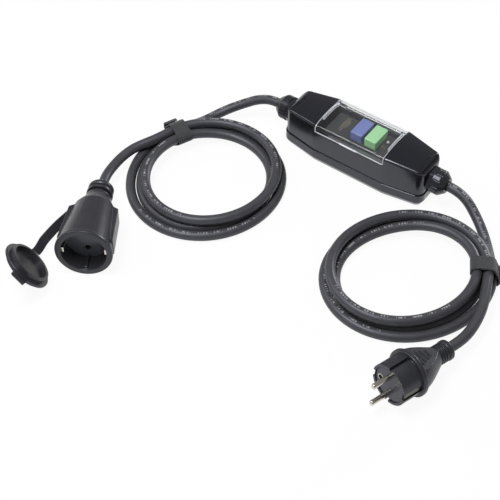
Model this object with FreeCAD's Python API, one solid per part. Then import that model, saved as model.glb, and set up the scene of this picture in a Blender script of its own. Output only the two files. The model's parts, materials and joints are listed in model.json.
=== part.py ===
"""An in-line portable residual current protector on a rubber extension cord.

The protector box stands at the origin. A coiled cord runs from its left gland to a rubber
coupling with a strapped cap, and another from its right gland to an earthed rubber plug.
All sizes are in millimetres. +X runs along the box towards the plug's gland, +Z is up.
"""
import FreeCAD, Part

import math
import os

Vec = FreeCAD.Vector
UP = Vec(0, 0, 1)

# Cord: three cores of 1.5 mm2 in a rubber jacket
cord_d = 9.2
core_d = 2.8
cord_r = cord_d / 2

# Protector box, outside
box_length = 151.0
waist_length = 76.0
waist_width = 45.6
end_width = 33.0
end_corner_r = 8.0
waist_corner_r = 30.0
keel_length = 147.0
keel_inset = 2.4
keel_height = 6.0
seam_z = 15.0
lower_proud = 1.0
crown_z = 48.7
roof_r = 80.0
end_top_z = 44.8
end_crease_run = 5.5
end_face_top_z = 39.5
wall = 2.5
gasket_width = 0.9
gasket_height = 1.0
gasket_inset = 0.8

# Clear lid with its hinge on the far side
lid_length = 74.0
lid_centre_x = -0.8
lid_width = 46.4
lid_eave_z = 45.4
lid_wall = 1.8
lid_gap = 0.3
lid_skirt_z = 37.8
lid_corner_r = 4.0
hinge_y = 21.4
hinge_z = 39.7
hinge_pin_d = 1.6
hinge_pin_length = 11.0
hinge_pin_in_body = 3.6
knuckle_r = 1.8
knuckle_length = 7.0
lip_length = 18.6
lip_depth = 0.6
lip_height = 1.6
lid_rib = 1.6
lid_rib_height = 2.0
lid_rib_near_y = -11.0
lid_rib_far_y = 16.0

# Deck, label panel and buttons under the lid
side_wall_top_z = 36.9
deck_z = 35.7
deck_thickness = 2.0
deck_width = 41.0
panel_length = 64.0
panel_width = 29.0
panel_thickness = 1.0
button_width = 12.4
button_length = 22.0
button_pitch = 15.2
button_mid_x = 6.5
button_mid_y = 1.0
button_top_z = 45.2
button_travel = 2.5
button_gap = 0.25
button_edge_r = 0.9
lug_reach = 1.5
lug_height = 1.4
stem_d = 5.0
led_d = 3.0
led_x = 24.5
led_y = 6.0
led_height = 1.2

# Key board with its switches and springs
key_board_top_z = 25.0
key_board_length = 52.0
key_board_width = 30.0
board_thickness = 1.6
switch_side = 6.0
switch_height = 3.4
spring_mean_d = 10.4
spring_wire_d = 0.8
spring_turns = 4
post_d = 5.0
post_dx = 22.0
post_dy = 12.0
board_screw_d = 1.8
board_screw_head_d = 3.8
board_screw_head_height = 1.3
board_screw_length = 5.0

# Main board with its components
main_board_z = 8.0
main_board_length = 96.0
main_board_width = 34.0
standoff_dx = 42.0
standoff_dy = 14.0
standoff_d = 5.0
relay_size = (28.0, 20.0, 12.4)
relay_at = (18.0, -5.0)
toroid_outer_d = 24.0
toroid_inner_d = 10.0
toroid_height = 9.0
winding_wall = 1.2
toroid_at = (-12.0, -2.0)
film_capacitor_size = (18.0, 6.0, 11.0)
film_capacitor_at = (18.0, 11.0)
round_capacitor_d = 8.0
round_capacitor_height = 12.0
round_capacitor_at = (-29.0, 9.0)
varistor_d = 11.0
varistor_thickness = 4.2
varistor_gap = 1.5
terminal_size = (8.0, 22.0, 10.0)
terminal_x = 40.0
core_spread = 6.5
core_hole_z = 4.5

# Housing screws
screw_x = 56.0
screw_y = 12.2
screw_boss_d = 7.0
screw_d = 2.9
screw_head_d = 5.6
screw_head_height = 2.2
screw_recess = 3.0
screw_length = 21.0
screw_gap = 0.1

# Cable glands
gland_z = 26.5
gland_thread_d = 18.6
gland_bore_d = 10.0
gland_inside = 9.0
locknut_af = 21.0
locknut_height = 3.4
locknut_seat_gap = 0.25
flange_af = 22.0
flange_length = 4.5
neck_thread_d = 16.0
neck_length = 4.5
nut_d = 24.0
nut_grip_length = 7.0
nut_length = 12.5
nut_nose_d = 15.0
nut_nose_bore_d = 9.8
nut_groove_d = 1.8
nut_grooves = 12
seal_length = 6.0
seal_d = 14.6
thread_gap = 0.1
jacket_end_x = 57.0

# Coils: loops wind in on the floor, climb in half a turn, and wind out on top
coil_turns = 3
coil_turn_gap = 0.6
coil_climb = 0.5
coil_overlap = 0.02
left_coil = dict(centre=(-99.5, -104.9), tie_angle=155.0, sense=1, first_r=74.2,
                 reversal=1.92, oval=2.4, oval_angle=79.0)
right_coil = dict(centre=(108.1, -95.3), tie_angle=35.0, sense=-1, first_r=72.0,
                  reversal=1.74, oval=4.6, oval_angle=58.0)

# Hook-and-loop ties
tie_width = 15.0
tie_thickness = 1.4
tie_gap = 1.0
tie_lift = tie_thickness + tie_gap
tongue_width = 12.5
tongue_reach = 4.2
tongue_height = 11.0

# Earthed plug, from its flange's front face
plug_at = (167.5, -193.8)
plug_heading = -106.5
plug_tilt = 5.5
plug_roll = 6.0
plug_flange_r = 21.0
plug_flange_thickness = 4.4
plug_front_r = 18.15
plug_front_length = 19.5
plug_shell_wall = 2.4
plug_face_depth = 1.0
insert_root = 6.0
pin_d = 4.8
pin_length = 19.0
pin_spacing = 19.0
pin_root = 9.0
pin_root_d = 4.0
pin_tip_r = 1.4
earth_strip_width = 6.0
earth_strip_thickness = 0.9
earth_channel_width = 6.6
earth_channel_depth = 2.2
guide_groove_width = 3.0
guide_groove_depth = 3.4
earth_tube_d = 6.4
earth_tube_bore_d = 4.9
earth_tube_depth = 16.0
earth_tube_offset = 10.0
grip_line = [(19.0, 4.4), (18.0, 10.0), (15.0, 18.0), (11.6, 25.0), (8.6, 31.0)]
grip_front_half = 13.5
grip_back_half = 8.2
plug_neck_r = 7.6
plug_neck_rib_r = 8.6
plug_neck_rib = 1.5
plug_neck_groove = 1.2
plug_neck_ribs = 3
plug_bead_r = 9.0
plug_bead_length = 5.3
grip_bars = 4
grip_bar_length = 17.0
grip_bar_shrink = 3.0
grip_bar_pitch = 4.2
grip_bar_width = 1.6
grip_bar_height = 0.9
grip_bar_start = 9.0

# Coupling, from its cord end to its mouth
coupling_at = (-164.6, -180.4)
coupling_heading = -58.6
coupling_tilt = 6.3
coupling_length = 87.0
coupling_mouth_r = 24.9
coupling_rim_r = 25.4
coupling_rim_length = 3.6
coupling_back_r = 19.0
coupling_back_z = 33.0
coupling_bulge_r = 12.0
coupling_bulge_z = 19.0
coupling_neck_r = 9.2
coupling_neck_z = 5.6
coupling_neck_length = 8.4
coupling_bead_r = 11.8
recess_r = 20.0
recess_depth = 17.5
insert_length = 24.0
contact_hole_d = 5.4
contact_wall = 0.5
contact_length = 15.0
contact_cover = 2.0
clip_width = 5.0
clip_thickness = 0.8
clip_reach = 2.2
clip_margin = 3.0
guide_rib_width = 2.6
guide_rib_reach = 2.4
guide_rib_margin = 2.0
side_panel_width = 17.0
side_panel_from = 36.0
side_panel_to = 77.0
side_panel_proud = 2.8
side_panel_end_proud = 0.6

# Cap on its strap
ring_gap = 0.3
ring_thickness = 3.0
ring_wall = 2.6
ring_margin = 2.4
strap_width = 8.6
strap_thickness = 2.2
strap_angle = -40.0
strap_route = [(-171.5, -204.0, 7.4), (-172.6, -220.0, 7.0), (-172.0, -237.0, 7.2), (-170.2, -254.0, 6.4)]
cap_at = (-154.1, -290.5)
cap_heading = 57.5
cap_tilt = 37.5
cap_strap_angle = -127.0
cap_tab_angle = 52.0
cap_flange_r = 23.5
cap_flange_thickness = 2.8
cap_step_r = 20.5
cap_step_height = 2.4
cap_plug_gap = 0.4
cap_plug_wall = 2.4
cap_plug_height = 4.2
cap_tab_width = 14.0
cap_tab_reach = 7.5
cap_tab_thickness = 2.4
cap_tongue_reach = 5.0
cap_hinge_gap = 0.3

# Cord routes between the gland, the coil, and the plug or coupling
route_step = 13.0
left_box_route = [(-127.5, -12.5, 17.0), (-144.5, -31.0, 8.4)]
right_box_route = [(125.5, -6.8, 17.0)]
socket_route = [(-174.5, -119.0, 15.0), (-177.0, -140.0, 14.6)]
plug_route = []

pieces = {}


def keep(name, *shapes):
    """Keeps one named node, a single solid or a group of separate solids."""
    solids = [s for shape in shapes for s in shape.Solids]
    pieces[name] = solids[0] if len(solids) == 1 else Part.makeCompound(solids)


def box(x0, x1, y0, y1, z0, z1):
    return Part.makeBox(x1 - x0, y1 - y0, z1 - z0, Vec(x0, y0, z0))


def rod(radius, start, end):
    """A cylinder between two points."""
    return Part.makeCylinder(radius, (end - start).Length, start, end - start)


def ring(outer_r, inner_r, start, end):
    return rod(outer_r, start, end).cut(rod(inner_r, start, end))


def hexagon(across_flats, start, end):
    """A hexagonal bar along X between two points."""
    corner = across_flats / math.sqrt(3)
    points = [start + Vec(0, corner * math.cos(k * math.pi / 3), corner * math.sin(k * math.pi / 3))
              for k in range(7)]
    return Part.Face(Part.makePolygon(points)).extrude(end - start)


def rounded_wire(corners, radii):
    """A closed wire through the corners, each rounded by its own radius."""
    edges = []
    starts = []
    ends = []
    count = len(corners)
    for k in range(count):
        here = corners[k]
        back = (corners[k - 1] - here).normalize()
        on = (corners[(k + 1) % count] - here).normalize()
        half = math.acos(max(-1, min(1, back.dot(on)))) / 2
        reach = radii[k] / math.tan(half)
        middle = here + (back + on).normalize() * (radii[k] / math.sin(half) - radii[k])
        starts.append(here + back * reach)
        ends.append(here + on * reach)
        edges.append(Part.Arc(starts[k], middle, ends[k]).toShape())
    for k in range(count):
        edges.append(Part.LineSegment(ends[k], starts[(k + 1) % count]).toShape())
    return Part.Wire(Part.__sortEdges__(edges))


def box_outline(inset, z, half_length=box_length / 2):
    """The box's plan outline, drawn in by inset: a straight waist and tapered ends."""
    end_x = half_length - inset
    end_y = end_width / 2 - inset
    waist_x = waist_length / 2
    waist_y = waist_width / 2 - inset
    quarter = [(end_x, -end_y), (end_x, end_y), (waist_x, waist_y), (-waist_x, waist_y),
               (-end_x, end_y), (-end_x, -end_y), (-waist_x, -waist_y), (waist_x, -waist_y)]
    small = max(end_corner_r - inset, 1.0)
    radii = [small, small, waist_corner_r, waist_corner_r] * 2
    return rounded_wire([Vec(x, y, z) for x, y in quarter], radii)


def prism(inset, z0, z1):
    return Part.Face(box_outline(inset, z0)).extrude(Vec(0, 0, z1 - z0))


def arc_over(half, edge_z, top_z, x):
    """The crowned top of a section, from one side to the other."""
    return Part.Arc(Vec(x, -half, edge_z), Vec(x, 0, top_z), Vec(x, half, edge_z)).toShape()


def long_edges(shape, half, z):
    """The edges along X at a section's two corners."""
    return edges_near(shape, lambda e: e.BoundBox.YLength < 0.1 and e.BoundBox.ZLength < 0.1
                      and abs(abs(e.BoundBox.Center.y) - half) < 0.1
                      and abs(e.BoundBox.Center.z - z) < 0.1)


def roof(inset):
    """Everything under the roof: a crowned bar over the waist, carried down to each end."""
    half = waist_width
    top_z = crown_z - inset
    edge_z = top_z - roof_r + math.sqrt(roof_r ** 2 - half ** 2)
    bar = None
    for way in (-1, 1):
        x0 = way * waist_length / 2
        run = box_length / 2 - end_crease_run - waist_length / 2
        fall = (crown_z - end_top_z) / run
        corners = [Vec(x0, half, edge_z), Vec(x0, half, -2 * crown_z), Vec(x0, -half, -2 * crown_z),
                   Vec(x0, -half, edge_z)]
        sides = [Part.LineSegment(corners[k], corners[k + 1]).toShape() for k in range(3)]
        section = Part.Face(Part.Wire([arc_over(half, edge_z, top_z, x0)] + sides))
        sloped = section.extrude(Vec(way, 0, -fall) * (2 * run))
        level = section.extrude(Vec(-x0, 0, 0))
        bar = sloped.fuse(level) if bar is None else bar.fuse([sloped, level])
    return bar.removeSplitter()


def crowned_bar(inset, x0, x1, floor_z):
    """A bar with the lid's section, upright sides and a crowned top, drawn in."""
    half = lid_width / 2 - inset
    top = arc_over(half, lid_eave_z - inset, crown_z - inset, x0)
    line = [Vec(x0, half, lid_eave_z - inset), Vec(x0, half, floor_z), Vec(x0, -half, floor_z),
            Vec(x0, -half, lid_eave_z - inset)]
    sides = [Part.LineSegment(line[k], line[k + 1]).toShape() for k in range(3)]
    bar = Part.Face(Part.Wire([top] + sides)).extrude(Vec(x1 - x0, 0, 0))
    corner = max(lid_corner_r - inset, 0.5)
    return bar.makeFillet(corner, long_edges(bar, half, lid_eave_z - inset))


def end_slopes(inset):
    """Everything under the chamfers over the two end faces, seen from the side."""
    x_end = box_length / 2 - inset
    half_w = waist_width
    rise = (end_top_z - end_face_top_z) / end_crease_run
    high_z = crown_z + 5
    x_high = x_end - (high_z - end_face_top_z + inset) / rise
    line = [(-x_end, 0), (-x_end, end_face_top_z - inset), (-x_high, high_z),
            (x_high, high_z), (x_end, end_face_top_z - inset), (x_end, 0)]
    points = [Vec(x, -half_w, z) for x, z in line]
    face = Part.Face(Part.makePolygon(points + [points[0]]))
    return face.extrude(Vec(0, 2 * half_w, 0))


def edges_near(shape, test):
    return [e for e in shape.Edges if test(e)]


# Places that several pieces share
lid_x0 = lid_centre_x - lid_length / 2
lid_x1 = lid_centre_x + lid_length / 2
button_xs = {"test": button_mid_x - button_pitch / 2, "reset": button_mid_x + button_pitch / 2}
panel_z = deck_z + panel_thickness
deck_under_z = deck_z - deck_thickness
lug_top_z = deck_under_z - button_gap / 2
lug_under_z = lug_top_z - lug_height
switch_top_z = key_board_top_z + switch_height
stem_end_z = switch_top_z + button_travel + 0.2
posts = [Vec(button_mid_x + sx * post_dx, sy * post_dy, 0) for sx in (-1, 1) for sy in (-1, 1)]
standoffs = [Vec(sx * standoff_dx, sy * standoff_dy, 0) for sx in (-1, 1) for sy in (-1, 1)]
screws = [Vec(sx * screw_x, sy * screw_y, 0) for sx in (-1, 1) for sy in (-1, 1)]
board_top_z = main_board_z + board_thickness


def base_shell():
    """The lower shell: a keel, upright sides that stand a little proud, and inner bosses."""
    keel = Part.makeLoft([box_outline(keel_inset, 0, keel_length / 2 + keel_inset),
                          box_outline(-lower_proud, keel_height)], True, True)
    body = keel.fuse(prism(-lower_proud, keel_height, seam_z))
    hollow = Part.makeLoft([box_outline(keel_inset + wall, wall, keel_length / 2 + keel_inset),
                            box_outline(wall, keel_height + 1.0)], True, True)
    body = body.cut(hollow).cut(prism(wall, keel_height + 1.0, seam_z + 1))
    groove_z = seam_z - gasket_height
    groove = prism(gasket_inset, groove_z, seam_z + 1).cut(
        prism(gasket_inset + gasket_width, groove_z, seam_z + 1))
    body = body.cut(groove)
    for p in screws:
        body = body.fuse(rod(screw_boss_d / 2, p + UP * (wall - 1), p + UP * seam_z))
    for p in standoffs:
        body = body.fuse(rod(standoff_d / 2, p + UP * (wall - 1), p + UP * main_board_z))
    for p in screws:
        body = body.cut(rod(screw_head_d / 2 + screw_gap, p - UP, p + UP * screw_recess))
        body = body.cut(rod(screw_d / 2 + screw_gap, p, p + UP * (seam_z + 1)))
    for p in standoffs:
        bottom = board_top_z - board_screw_length
        body = body.cut(rod(board_screw_d / 2, p + UP * bottom, p + UP * (main_board_z + 1)))
    return body.removeSplitter()


def housing_gasket():
    groove_z = seam_z - gasket_height
    return prism(gasket_inset, groove_z, seam_z).cut(
        prism(gasket_inset + gasket_width, groove_z, seam_z))


def button_opening(name, grow, z0, z1):
    x = button_xs[name]
    half_w = button_width / 2 + grow
    half_l = button_length / 2 + grow
    return box(x - half_w, x + half_w, button_mid_y - half_l, button_mid_y + half_l, z0, z1)


def top_shell():
    """The upper shell: two raised ends, a deck between them for the buttons, and its posts."""
    body = prism(0, seam_z, crown_z + 1)
    body = body.common(roof(0)).common(end_slopes(0)).removeSplitter()
    bay_x0 = lid_x0 - lid_gap
    bay_x1 = lid_x1 + lid_gap
    wide = waist_width
    body = body.cut(box(bay_x0, bay_x1, -wide, wide, side_wall_top_z, crown_z + 1))
    body = body.cut(box(bay_x0, bay_x1, -deck_width / 2, deck_width / 2, deck_z, crown_z + 1))
    room = prism(wall, seam_z - 1, crown_z).common(end_slopes(wall)).common(roof(wall))
    bay_block = box(bay_x0 - wall, bay_x1 + wall, -wide, wide, deck_under_z, crown_z + 1)
    body = body.cut(room.cut(bay_block))
    for p in posts:
        body = body.fuse(rod(post_d / 2, p + UP * key_board_top_z, p + UP * (deck_under_z + 0.5)))
    for p in screws:
        column = rod(screw_boss_d / 2, p + UP * seam_z, p + UP * crown_z)
        body = body.fuse(column.common(end_slopes(wall / 2)).common(roof(wall / 2)))
        pilot_top = screw_recess - screw_head_height + screw_length + 1
        body = body.cut(rod(screw_d / 2 + screw_gap, p + UP * (seam_z - 1), p + UP * pilot_top))
    for p in posts:
        body = body.cut(rod(board_screw_d / 2, p + UP * (key_board_top_z - 1),
                            p + UP * (key_board_top_z + board_screw_length)))
    for name in button_xs:
        body = body.cut(button_opening(name, button_gap, deck_under_z - 1, deck_z + 1))
    led = Vec(led_x, led_y, 0)
    body = body.cut(rod(led_d / 2 + 0.1, led + UP * (deck_under_z - 1), led + UP * (deck_z + 1)))
    for side in (-1, 1):
        port = Vec(side * (box_length / 2 + 1), 0, gland_z)
        body = body.cut(rod(gland_thread_d / 2 + thread_gap, port, port - Vec(side * 10, 0, 0)))
        seat = Vec(side * (box_length / 2 - wall), 0, gland_z)
        deep = Vec(side * (locknut_height + 0.5), 0, 0)
        body = body.cut(rod(locknut_af / math.sqrt(3) + locknut_seat_gap, seat, seat - deep))
    for x, way in ((bay_x0, -1), (bay_x1, 1)):
        hinge = Vec(x, hinge_y, hinge_z)
        deep = Vec(way * (hinge_pin_in_body + 0.2), 0, 0)
        body = body.cut(rod(hinge_pin_d / 2 + 0.02, hinge - Vec(way, 0, 0), hinge + deep))
    return body.removeSplitter()


def button_panel():
    x0 = lid_centre_x - panel_length / 2
    half = panel_width / 2
    plate = box(x0, x0 + panel_length, -half, half, deck_z, panel_z)
    plate = plate.makeFillet(2.0, edges_near(plate, lambda e: e.BoundBox.ZLength > 0.5))
    for name in button_xs:
        plate = plate.cut(button_opening(name, button_gap, deck_z - 1, panel_z + 1))
    led = Vec(led_x, led_y, deck_z)
    return plate.cut(rod(led_d / 2 + 0.1, led - UP, led + UP * 3))


def clear_lid():
    """A clear channel with a crowned top, a finger lip, inner end ribs and hinge knuckles."""
    shell = crowned_bar(0, lid_x0, lid_x1, lid_skirt_z)
    shell = shell.cut(crowned_bar(lid_wall, lid_x0 - 1, lid_x1 + 1, lid_skirt_z - 1))
    near = -lid_width / 2
    lip = box(lid_centre_x - lip_length / 2, lid_centre_x + lip_length / 2,
              near - lip_depth, near + 0.5, lid_skirt_z, lid_skirt_z + lip_height)
    shell = shell.fuse(lip)
    hang = crowned_bar(lid_wall + lid_rib_height, lid_x0 - 1, lid_x1 + 1, lid_skirt_z - 1)
    for x0 in (lid_x0 + 0.8, lid_x1 - 0.8 - lid_rib):
        rib = box(x0, x0 + lid_rib, lid_rib_near_y, lid_rib_far_y, lid_skirt_z, crown_z)
        rib = rib.common(crowned_bar(lid_wall / 2, lid_x0, lid_x1, lid_skirt_z)).cut(hang)
        shell = shell.fuse(rib)
    for x0 in (lid_x0, lid_x1 - knuckle_length):
        axis = Vec(x0, hinge_y, hinge_z)
        shell = shell.fuse(rod(knuckle_r, axis, axis + Vec(knuckle_length, 0, 0)))
    bore = Vec(lid_x0 - 1, hinge_y, hinge_z)
    shell = shell.cut(rod(hinge_pin_d / 2 + 0.05, bore, bore + Vec(lid_length + 2, 0, 0)))
    return shell.removeSplitter()


def hinge_pins():
    pins = []
    for x, way in ((lid_x0 - lid_gap, -1), (lid_x1 + lid_gap, 1)):
        start = Vec(x + way * hinge_pin_in_body, hinge_y, hinge_z)
        pins.append(rod(hinge_pin_d / 2, start, start - Vec(way * hinge_pin_length, 0, 0)))
    return pins


def push_button(name):
    """A square-edged key with a lug at each end under the deck and a stem over its switch."""
    key = button_opening(name, 0, lug_under_z, button_top_z)
    key = key.makeFillet(button_edge_r, edges_near(key, lambda e: e.BoundBox.ZMax > lug_under_z + 1))
    x = button_xs[name]
    half_l = button_length / 2 + lug_reach
    half_w = button_width / 4
    lugs = box(x - half_w, x + half_w, button_mid_y - half_l, button_mid_y + half_l,
               lug_under_z, lug_top_z)
    stem_top = Vec(x, button_mid_y, lug_under_z + 1)
    return key.fuse([lugs, rod(stem_d / 2, Vec(x, button_mid_y, stem_end_z), stem_top)])


def biarc(p0, t0, p1, t1):
    """Two arcs that join two points and keep both directions."""
    across = p1 - p0
    both = t0 + t1
    a = 2 * (t0.dot(t1) - 1)
    b = -2 * across.dot(both)
    c = across.dot(across)
    if abs(a) < 1e-9:
        reach = -c / b
    else:
        reach = (-b - math.sqrt(b * b - 4 * a * c)) / (2 * a)
    q0 = p0 + t0 * reach
    q1 = p1 - t1 * reach
    joint = (q0 + q1) * 0.5
    return [arc_by_corner(p0, q0, joint), arc_by_corner(joint, q1, p1)]


def arc_by_corner(start, corner, end):
    """The arc from start to end that is tangent to both lines through the corner."""
    chord = (start + end) * 0.5
    rise = corner - chord
    half = (end - start).Length / 2
    if rise.Length < 1e-6:
        return Part.LineSegment(start, end).toShape()
    reach = (corner - start).Length
    radius = reach * half / rise.Length
    sagitta = radius - math.sqrt(radius * radius - half * half)
    return Part.Arc(start, chord + rise.normalize() * sagitta, end).toShape()


def tube(edges, radius):
    """One unbroken round tube along tangent edges."""
    wire = Part.Wire(edges)
    first = edges[0]
    start = first.valueAt(first.FirstParameter)
    way = first.tangentAt(first.FirstParameter)
    profile = Part.Wire(Part.Circle(start, way, radius).toShape())
    return wire.makePipeShell([profile], True, False)


def coil_point(coil, s):
    """The cord's centre after s turns: in at a steady rate, out again, and up between."""
    pitch = cord_d + coil_turn_gap
    turn = s if s < coil["reversal"] else 2 * coil["reversal"] - s
    angle = math.radians(coil["tie_angle"]) + coil["sense"] * 2 * math.pi * s
    swell = coil["oval"] * math.cos(2 * (angle - math.radians(coil["oval_angle"])))
    radius = coil["first_r"] + swell - pitch * turn
    climbed = min(1, max(0, (s - coil["reversal"] + coil_climb / 2) / coil_climb))
    layer = climbed * climbed * (3 - 2 * climbed)
    lift = tie_lift * max(0, math.cos(2 * math.pi * s)) ** 2
    x, y = coil["centre"]
    return Vec(x + radius * math.cos(angle), y + radius * math.sin(angle),
               cord_r + lift + pitch * layer)


def coil_way(coil, s):
    step = 1e-4
    return (coil_point(coil, s + step) - coil_point(coil, s - step)).normalize()


def coil_ends(coil):
    """Where the coil's straight ends stop, and the outward way of each."""
    first = -coil_overlap
    last = coil_turns + coil_overlap
    way_in = coil_way(coil, first) * -1
    way_out = coil_way(coil, last)
    return ((coil_point(coil, first) + way_in * cord_d, way_in),
            (coil_point(coil, last) + way_out * cord_d, way_out))


def coil_edges(coil):
    """A straight end, biarcs of an eighth of a turn each, and a straight end."""
    count = 8 * coil_turns
    span = coil_turns + 2 * coil_overlap
    stops = [-coil_overlap + span * k / count for k in range(count + 1)]
    nodes = [(coil_point(coil, s), coil_way(coil, s)) for s in stops]
    (start, way_in), (end, way_out) = coil_ends(coil)
    edges = [Part.LineSegment(start, nodes[0][0]).toShape()]
    for k in range(count):
        edges += biarc(*nodes[k], *nodes[k + 1])
    edges.append(Part.LineSegment(nodes[-1][0], end).toShape())
    return edges


def least_self_gap(edges, radius):
    """The least gap between turns, on points spaced along the tube's own line."""
    points = []
    reach = 0
    marks = []
    for e in edges:
        count = max(2, int(e.Length / 2.5))
        for k in range(count):
            t = e.FirstParameter + (e.LastParameter - e.FirstParameter) * k / count
            points.append(e.valueAt(t))
            marks.append(reach + e.Length * k / count)
        reach += e.Length
    least = 1e9
    for i, p in enumerate(points):
        for j in range(i + 1, len(points)):
            if marks[j] - marks[i] > 8 * radius:
                least = min(least, p.distanceToPoint(points[j]) - 2 * radius)
    return least


def route_edges(name, points):
    """Straight runs joined by tangent arcs, each as large as its two runs allow."""
    edges = []
    radii = []
    here = points[0]
    for k in range(1, len(points) - 1):
        back = points[k - 1] - points[k]
        on = points[k + 1] - points[k]
        shorter = min(back.Length, on.Length)
        half_turn = (math.pi - back.getAngle(on)) / 2
        reach = 0.45 * shorter
        radii.append(reach / math.tan(half_turn))
        start = points[k] + back.normalize() * reach
        end = points[k] + on.normalize() * reach
        edges.append(Part.LineSegment(here, start).toShape())
        edges.append(arc_by_corner(start, points[k], end))
        here = end
    edges.append(Part.LineSegment(here, points[-1]).toShape())
    length = sum(e.Length for e in edges)
    print(name, "length", round(length, 1), "arc radii", [round(r) for r in radii])
    return edges


def cord_piece(name, edges):
    solid = tube(edges, cord_r)
    length = sum(e.Length for e in edges)
    share = solid.Volume / (math.pi * cord_r ** 2 * length)
    print(name, "volume over section times length", round(share, 4))
    return solid


def spring(name):
    """A compression spring on the key board, round its switch, under the key's lugs."""
    x = button_xs[name]
    low = key_board_top_z + spring_wire_d / 2
    high = lug_under_z - spring_wire_d / 2
    r = spring_mean_d / 2
    count = 4 * spring_turns

    def at(k):
        a = k * math.pi / 2
        return Vec(x + r * math.cos(a), button_mid_y + r * math.sin(a), low + (high - low) * k / count)

    def way(k):
        a = k * math.pi / 2
        rise = (high - low) / count / (math.pi / 2)
        return Vec(-r * math.sin(a), r * math.cos(a), rise).normalize()

    edges = []
    for k in range(count):
        edges += biarc(at(k), way(k), at(k + 1), way(k + 1))
    return tube(edges, spring_wire_d / 2)


def board_screw(head_under, way):
    """A small screw whose head sits on a board and whose shank goes the way given."""
    head = rod(board_screw_head_d / 2, head_under, head_under - way * board_screw_head_height)
    return head.fuse(rod(board_screw_d / 2, head_under, head_under + way * board_screw_length))


def electronics():
    """The boards and what they carry, each seated on its board."""
    half_l = main_board_length / 2
    half_w = main_board_width / 2
    main = box(-half_l, half_l, -half_w, half_w, main_board_z, board_top_z)
    for p in standoffs:
        main = main.cut(rod(board_screw_d / 2 + 0.05, p, p + UP * 20))
    keep("main_board", main)
    key_low_z = key_board_top_z - board_thickness
    key = box(button_mid_x - key_board_length / 2, button_mid_x + key_board_length / 2,
              -key_board_width / 2, key_board_width / 2, key_low_z, key_board_top_z)
    for p in posts:
        key = key.cut(rod(board_screw_d / 2 + 0.05, p, p + UP * 60))
    keep("key_board", key)
    keep("board_screws",
         *[board_screw(p + UP * board_top_z, UP * -1) for p in standoffs],
         *[board_screw(p + UP * key_low_z, UP) for p in posts])
    side = switch_side / 2
    keep("key_switches", *[box(x - side, x + side, button_mid_y - side, button_mid_y + side,
                               key_board_top_z, switch_top_z) for x in button_xs.values()])
    lamp = Vec(led_x, led_y, key_board_top_z)
    lens_z = panel_z - key_board_top_z
    stem = rod(led_d / 2, lamp, lamp + UP * lens_z)
    dome = Part.makeSphere(led_d / 2, lamp + UP * (lens_z + led_height - led_d / 2))
    keep("status_lamp", stem.fuse(dome).removeSplitter())

    def on_board(size, at):
        x, y = at
        return box(x - size[0] / 2, x + size[0] / 2, y - size[1] / 2, y + size[1] / 2,
                   board_top_z, board_top_z + size[2])

    relay = on_board(relay_size, relay_at)
    keep("contact_relay", relay.makeFillet(0.8, edges_near(relay, lambda e: e.BoundBox.ZLength > 1)))
    keep("film_capacitor", on_board(film_capacitor_size, film_capacitor_at))
    can = Vec(*round_capacitor_at, board_top_z)
    keep("round_capacitor", rod(round_capacitor_d / 2, can, can + UP * round_capacitor_height))
    varistor_y = toroid_at[1] + toroid_outer_d / 2 + varistor_gap + varistor_thickness / 2
    disc = Vec(toroid_at[0], varistor_y, board_top_z + varistor_d / 2)
    deep = Vec(0, varistor_thickness / 2, 0)
    feet = box(disc.x - 2, disc.x + 2, disc.y - 0.5, disc.y + 0.5, board_top_z, disc.z)
    keep("varistor", rod(varistor_d / 2, disc - deep, disc + deep).fuse(feet))
    eye = Vec(*toroid_at, board_top_z)
    top = eye + UP * toroid_height
    skin = UP * winding_wall
    core_r0 = toroid_inner_d / 2 + winding_wall
    core_r1 = toroid_outer_d / 2 - winding_wall
    core = ring(core_r1, core_r0, eye + skin, top - skin)
    keep("transformer_core", core)
    keep("transformer_winding", ring(toroid_outer_d / 2, toroid_inner_d / 2, eye, top).cut(core))
    blocks = []
    for way in (-1, 1):
        block = on_board(terminal_size, (way * terminal_x, 0))
        for y in (-core_spread, 0, core_spread):
            mouth = Vec(way * (terminal_x + terminal_size[0] / 2), y, board_top_z + core_hole_z)
            block = block.cut(rod(core_d / 2 + 0.1, mouth, mouth - Vec(way * 5, 0, 0)))
        blocks.append(block)
    keep("terminal_blocks", *blocks)


def cores(way):
    """The three insulated cores from the jacket's end down to the terminal block."""
    found = []
    mouth_x = terminal_x + terminal_size[0] / 2
    hole_z = board_top_z + core_hole_z
    for k, y in enumerate((-core_spread, 0, core_spread)):
        angle = math.radians(90 + 120 * (k - 1))
        start = Vec(way * jacket_end_x, 1.75 * math.cos(angle) * -1, gland_z + 1.75 * math.sin(angle))
        if k == 1:
            start = Vec(way * jacket_end_x, 0, gland_z + 1.75)
        bend = Vec(way * (jacket_end_x - 2.5), start.y, start.z)
        low = Vec(way * (mouth_x + 1.5), y, hole_z)
        end = Vec(way * (mouth_x - 4), y, hole_z)
        solid = rod(core_d / 2, start, bend).fuse(Part.makeSphere(core_d / 2, bend))
        solid = solid.fuse([rod(core_d / 2, bend, low), Part.makeSphere(core_d / 2, low)])
        found.append(solid.fuse(rod(core_d / 2, low, end)).removeSplitter())
    return found


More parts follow.
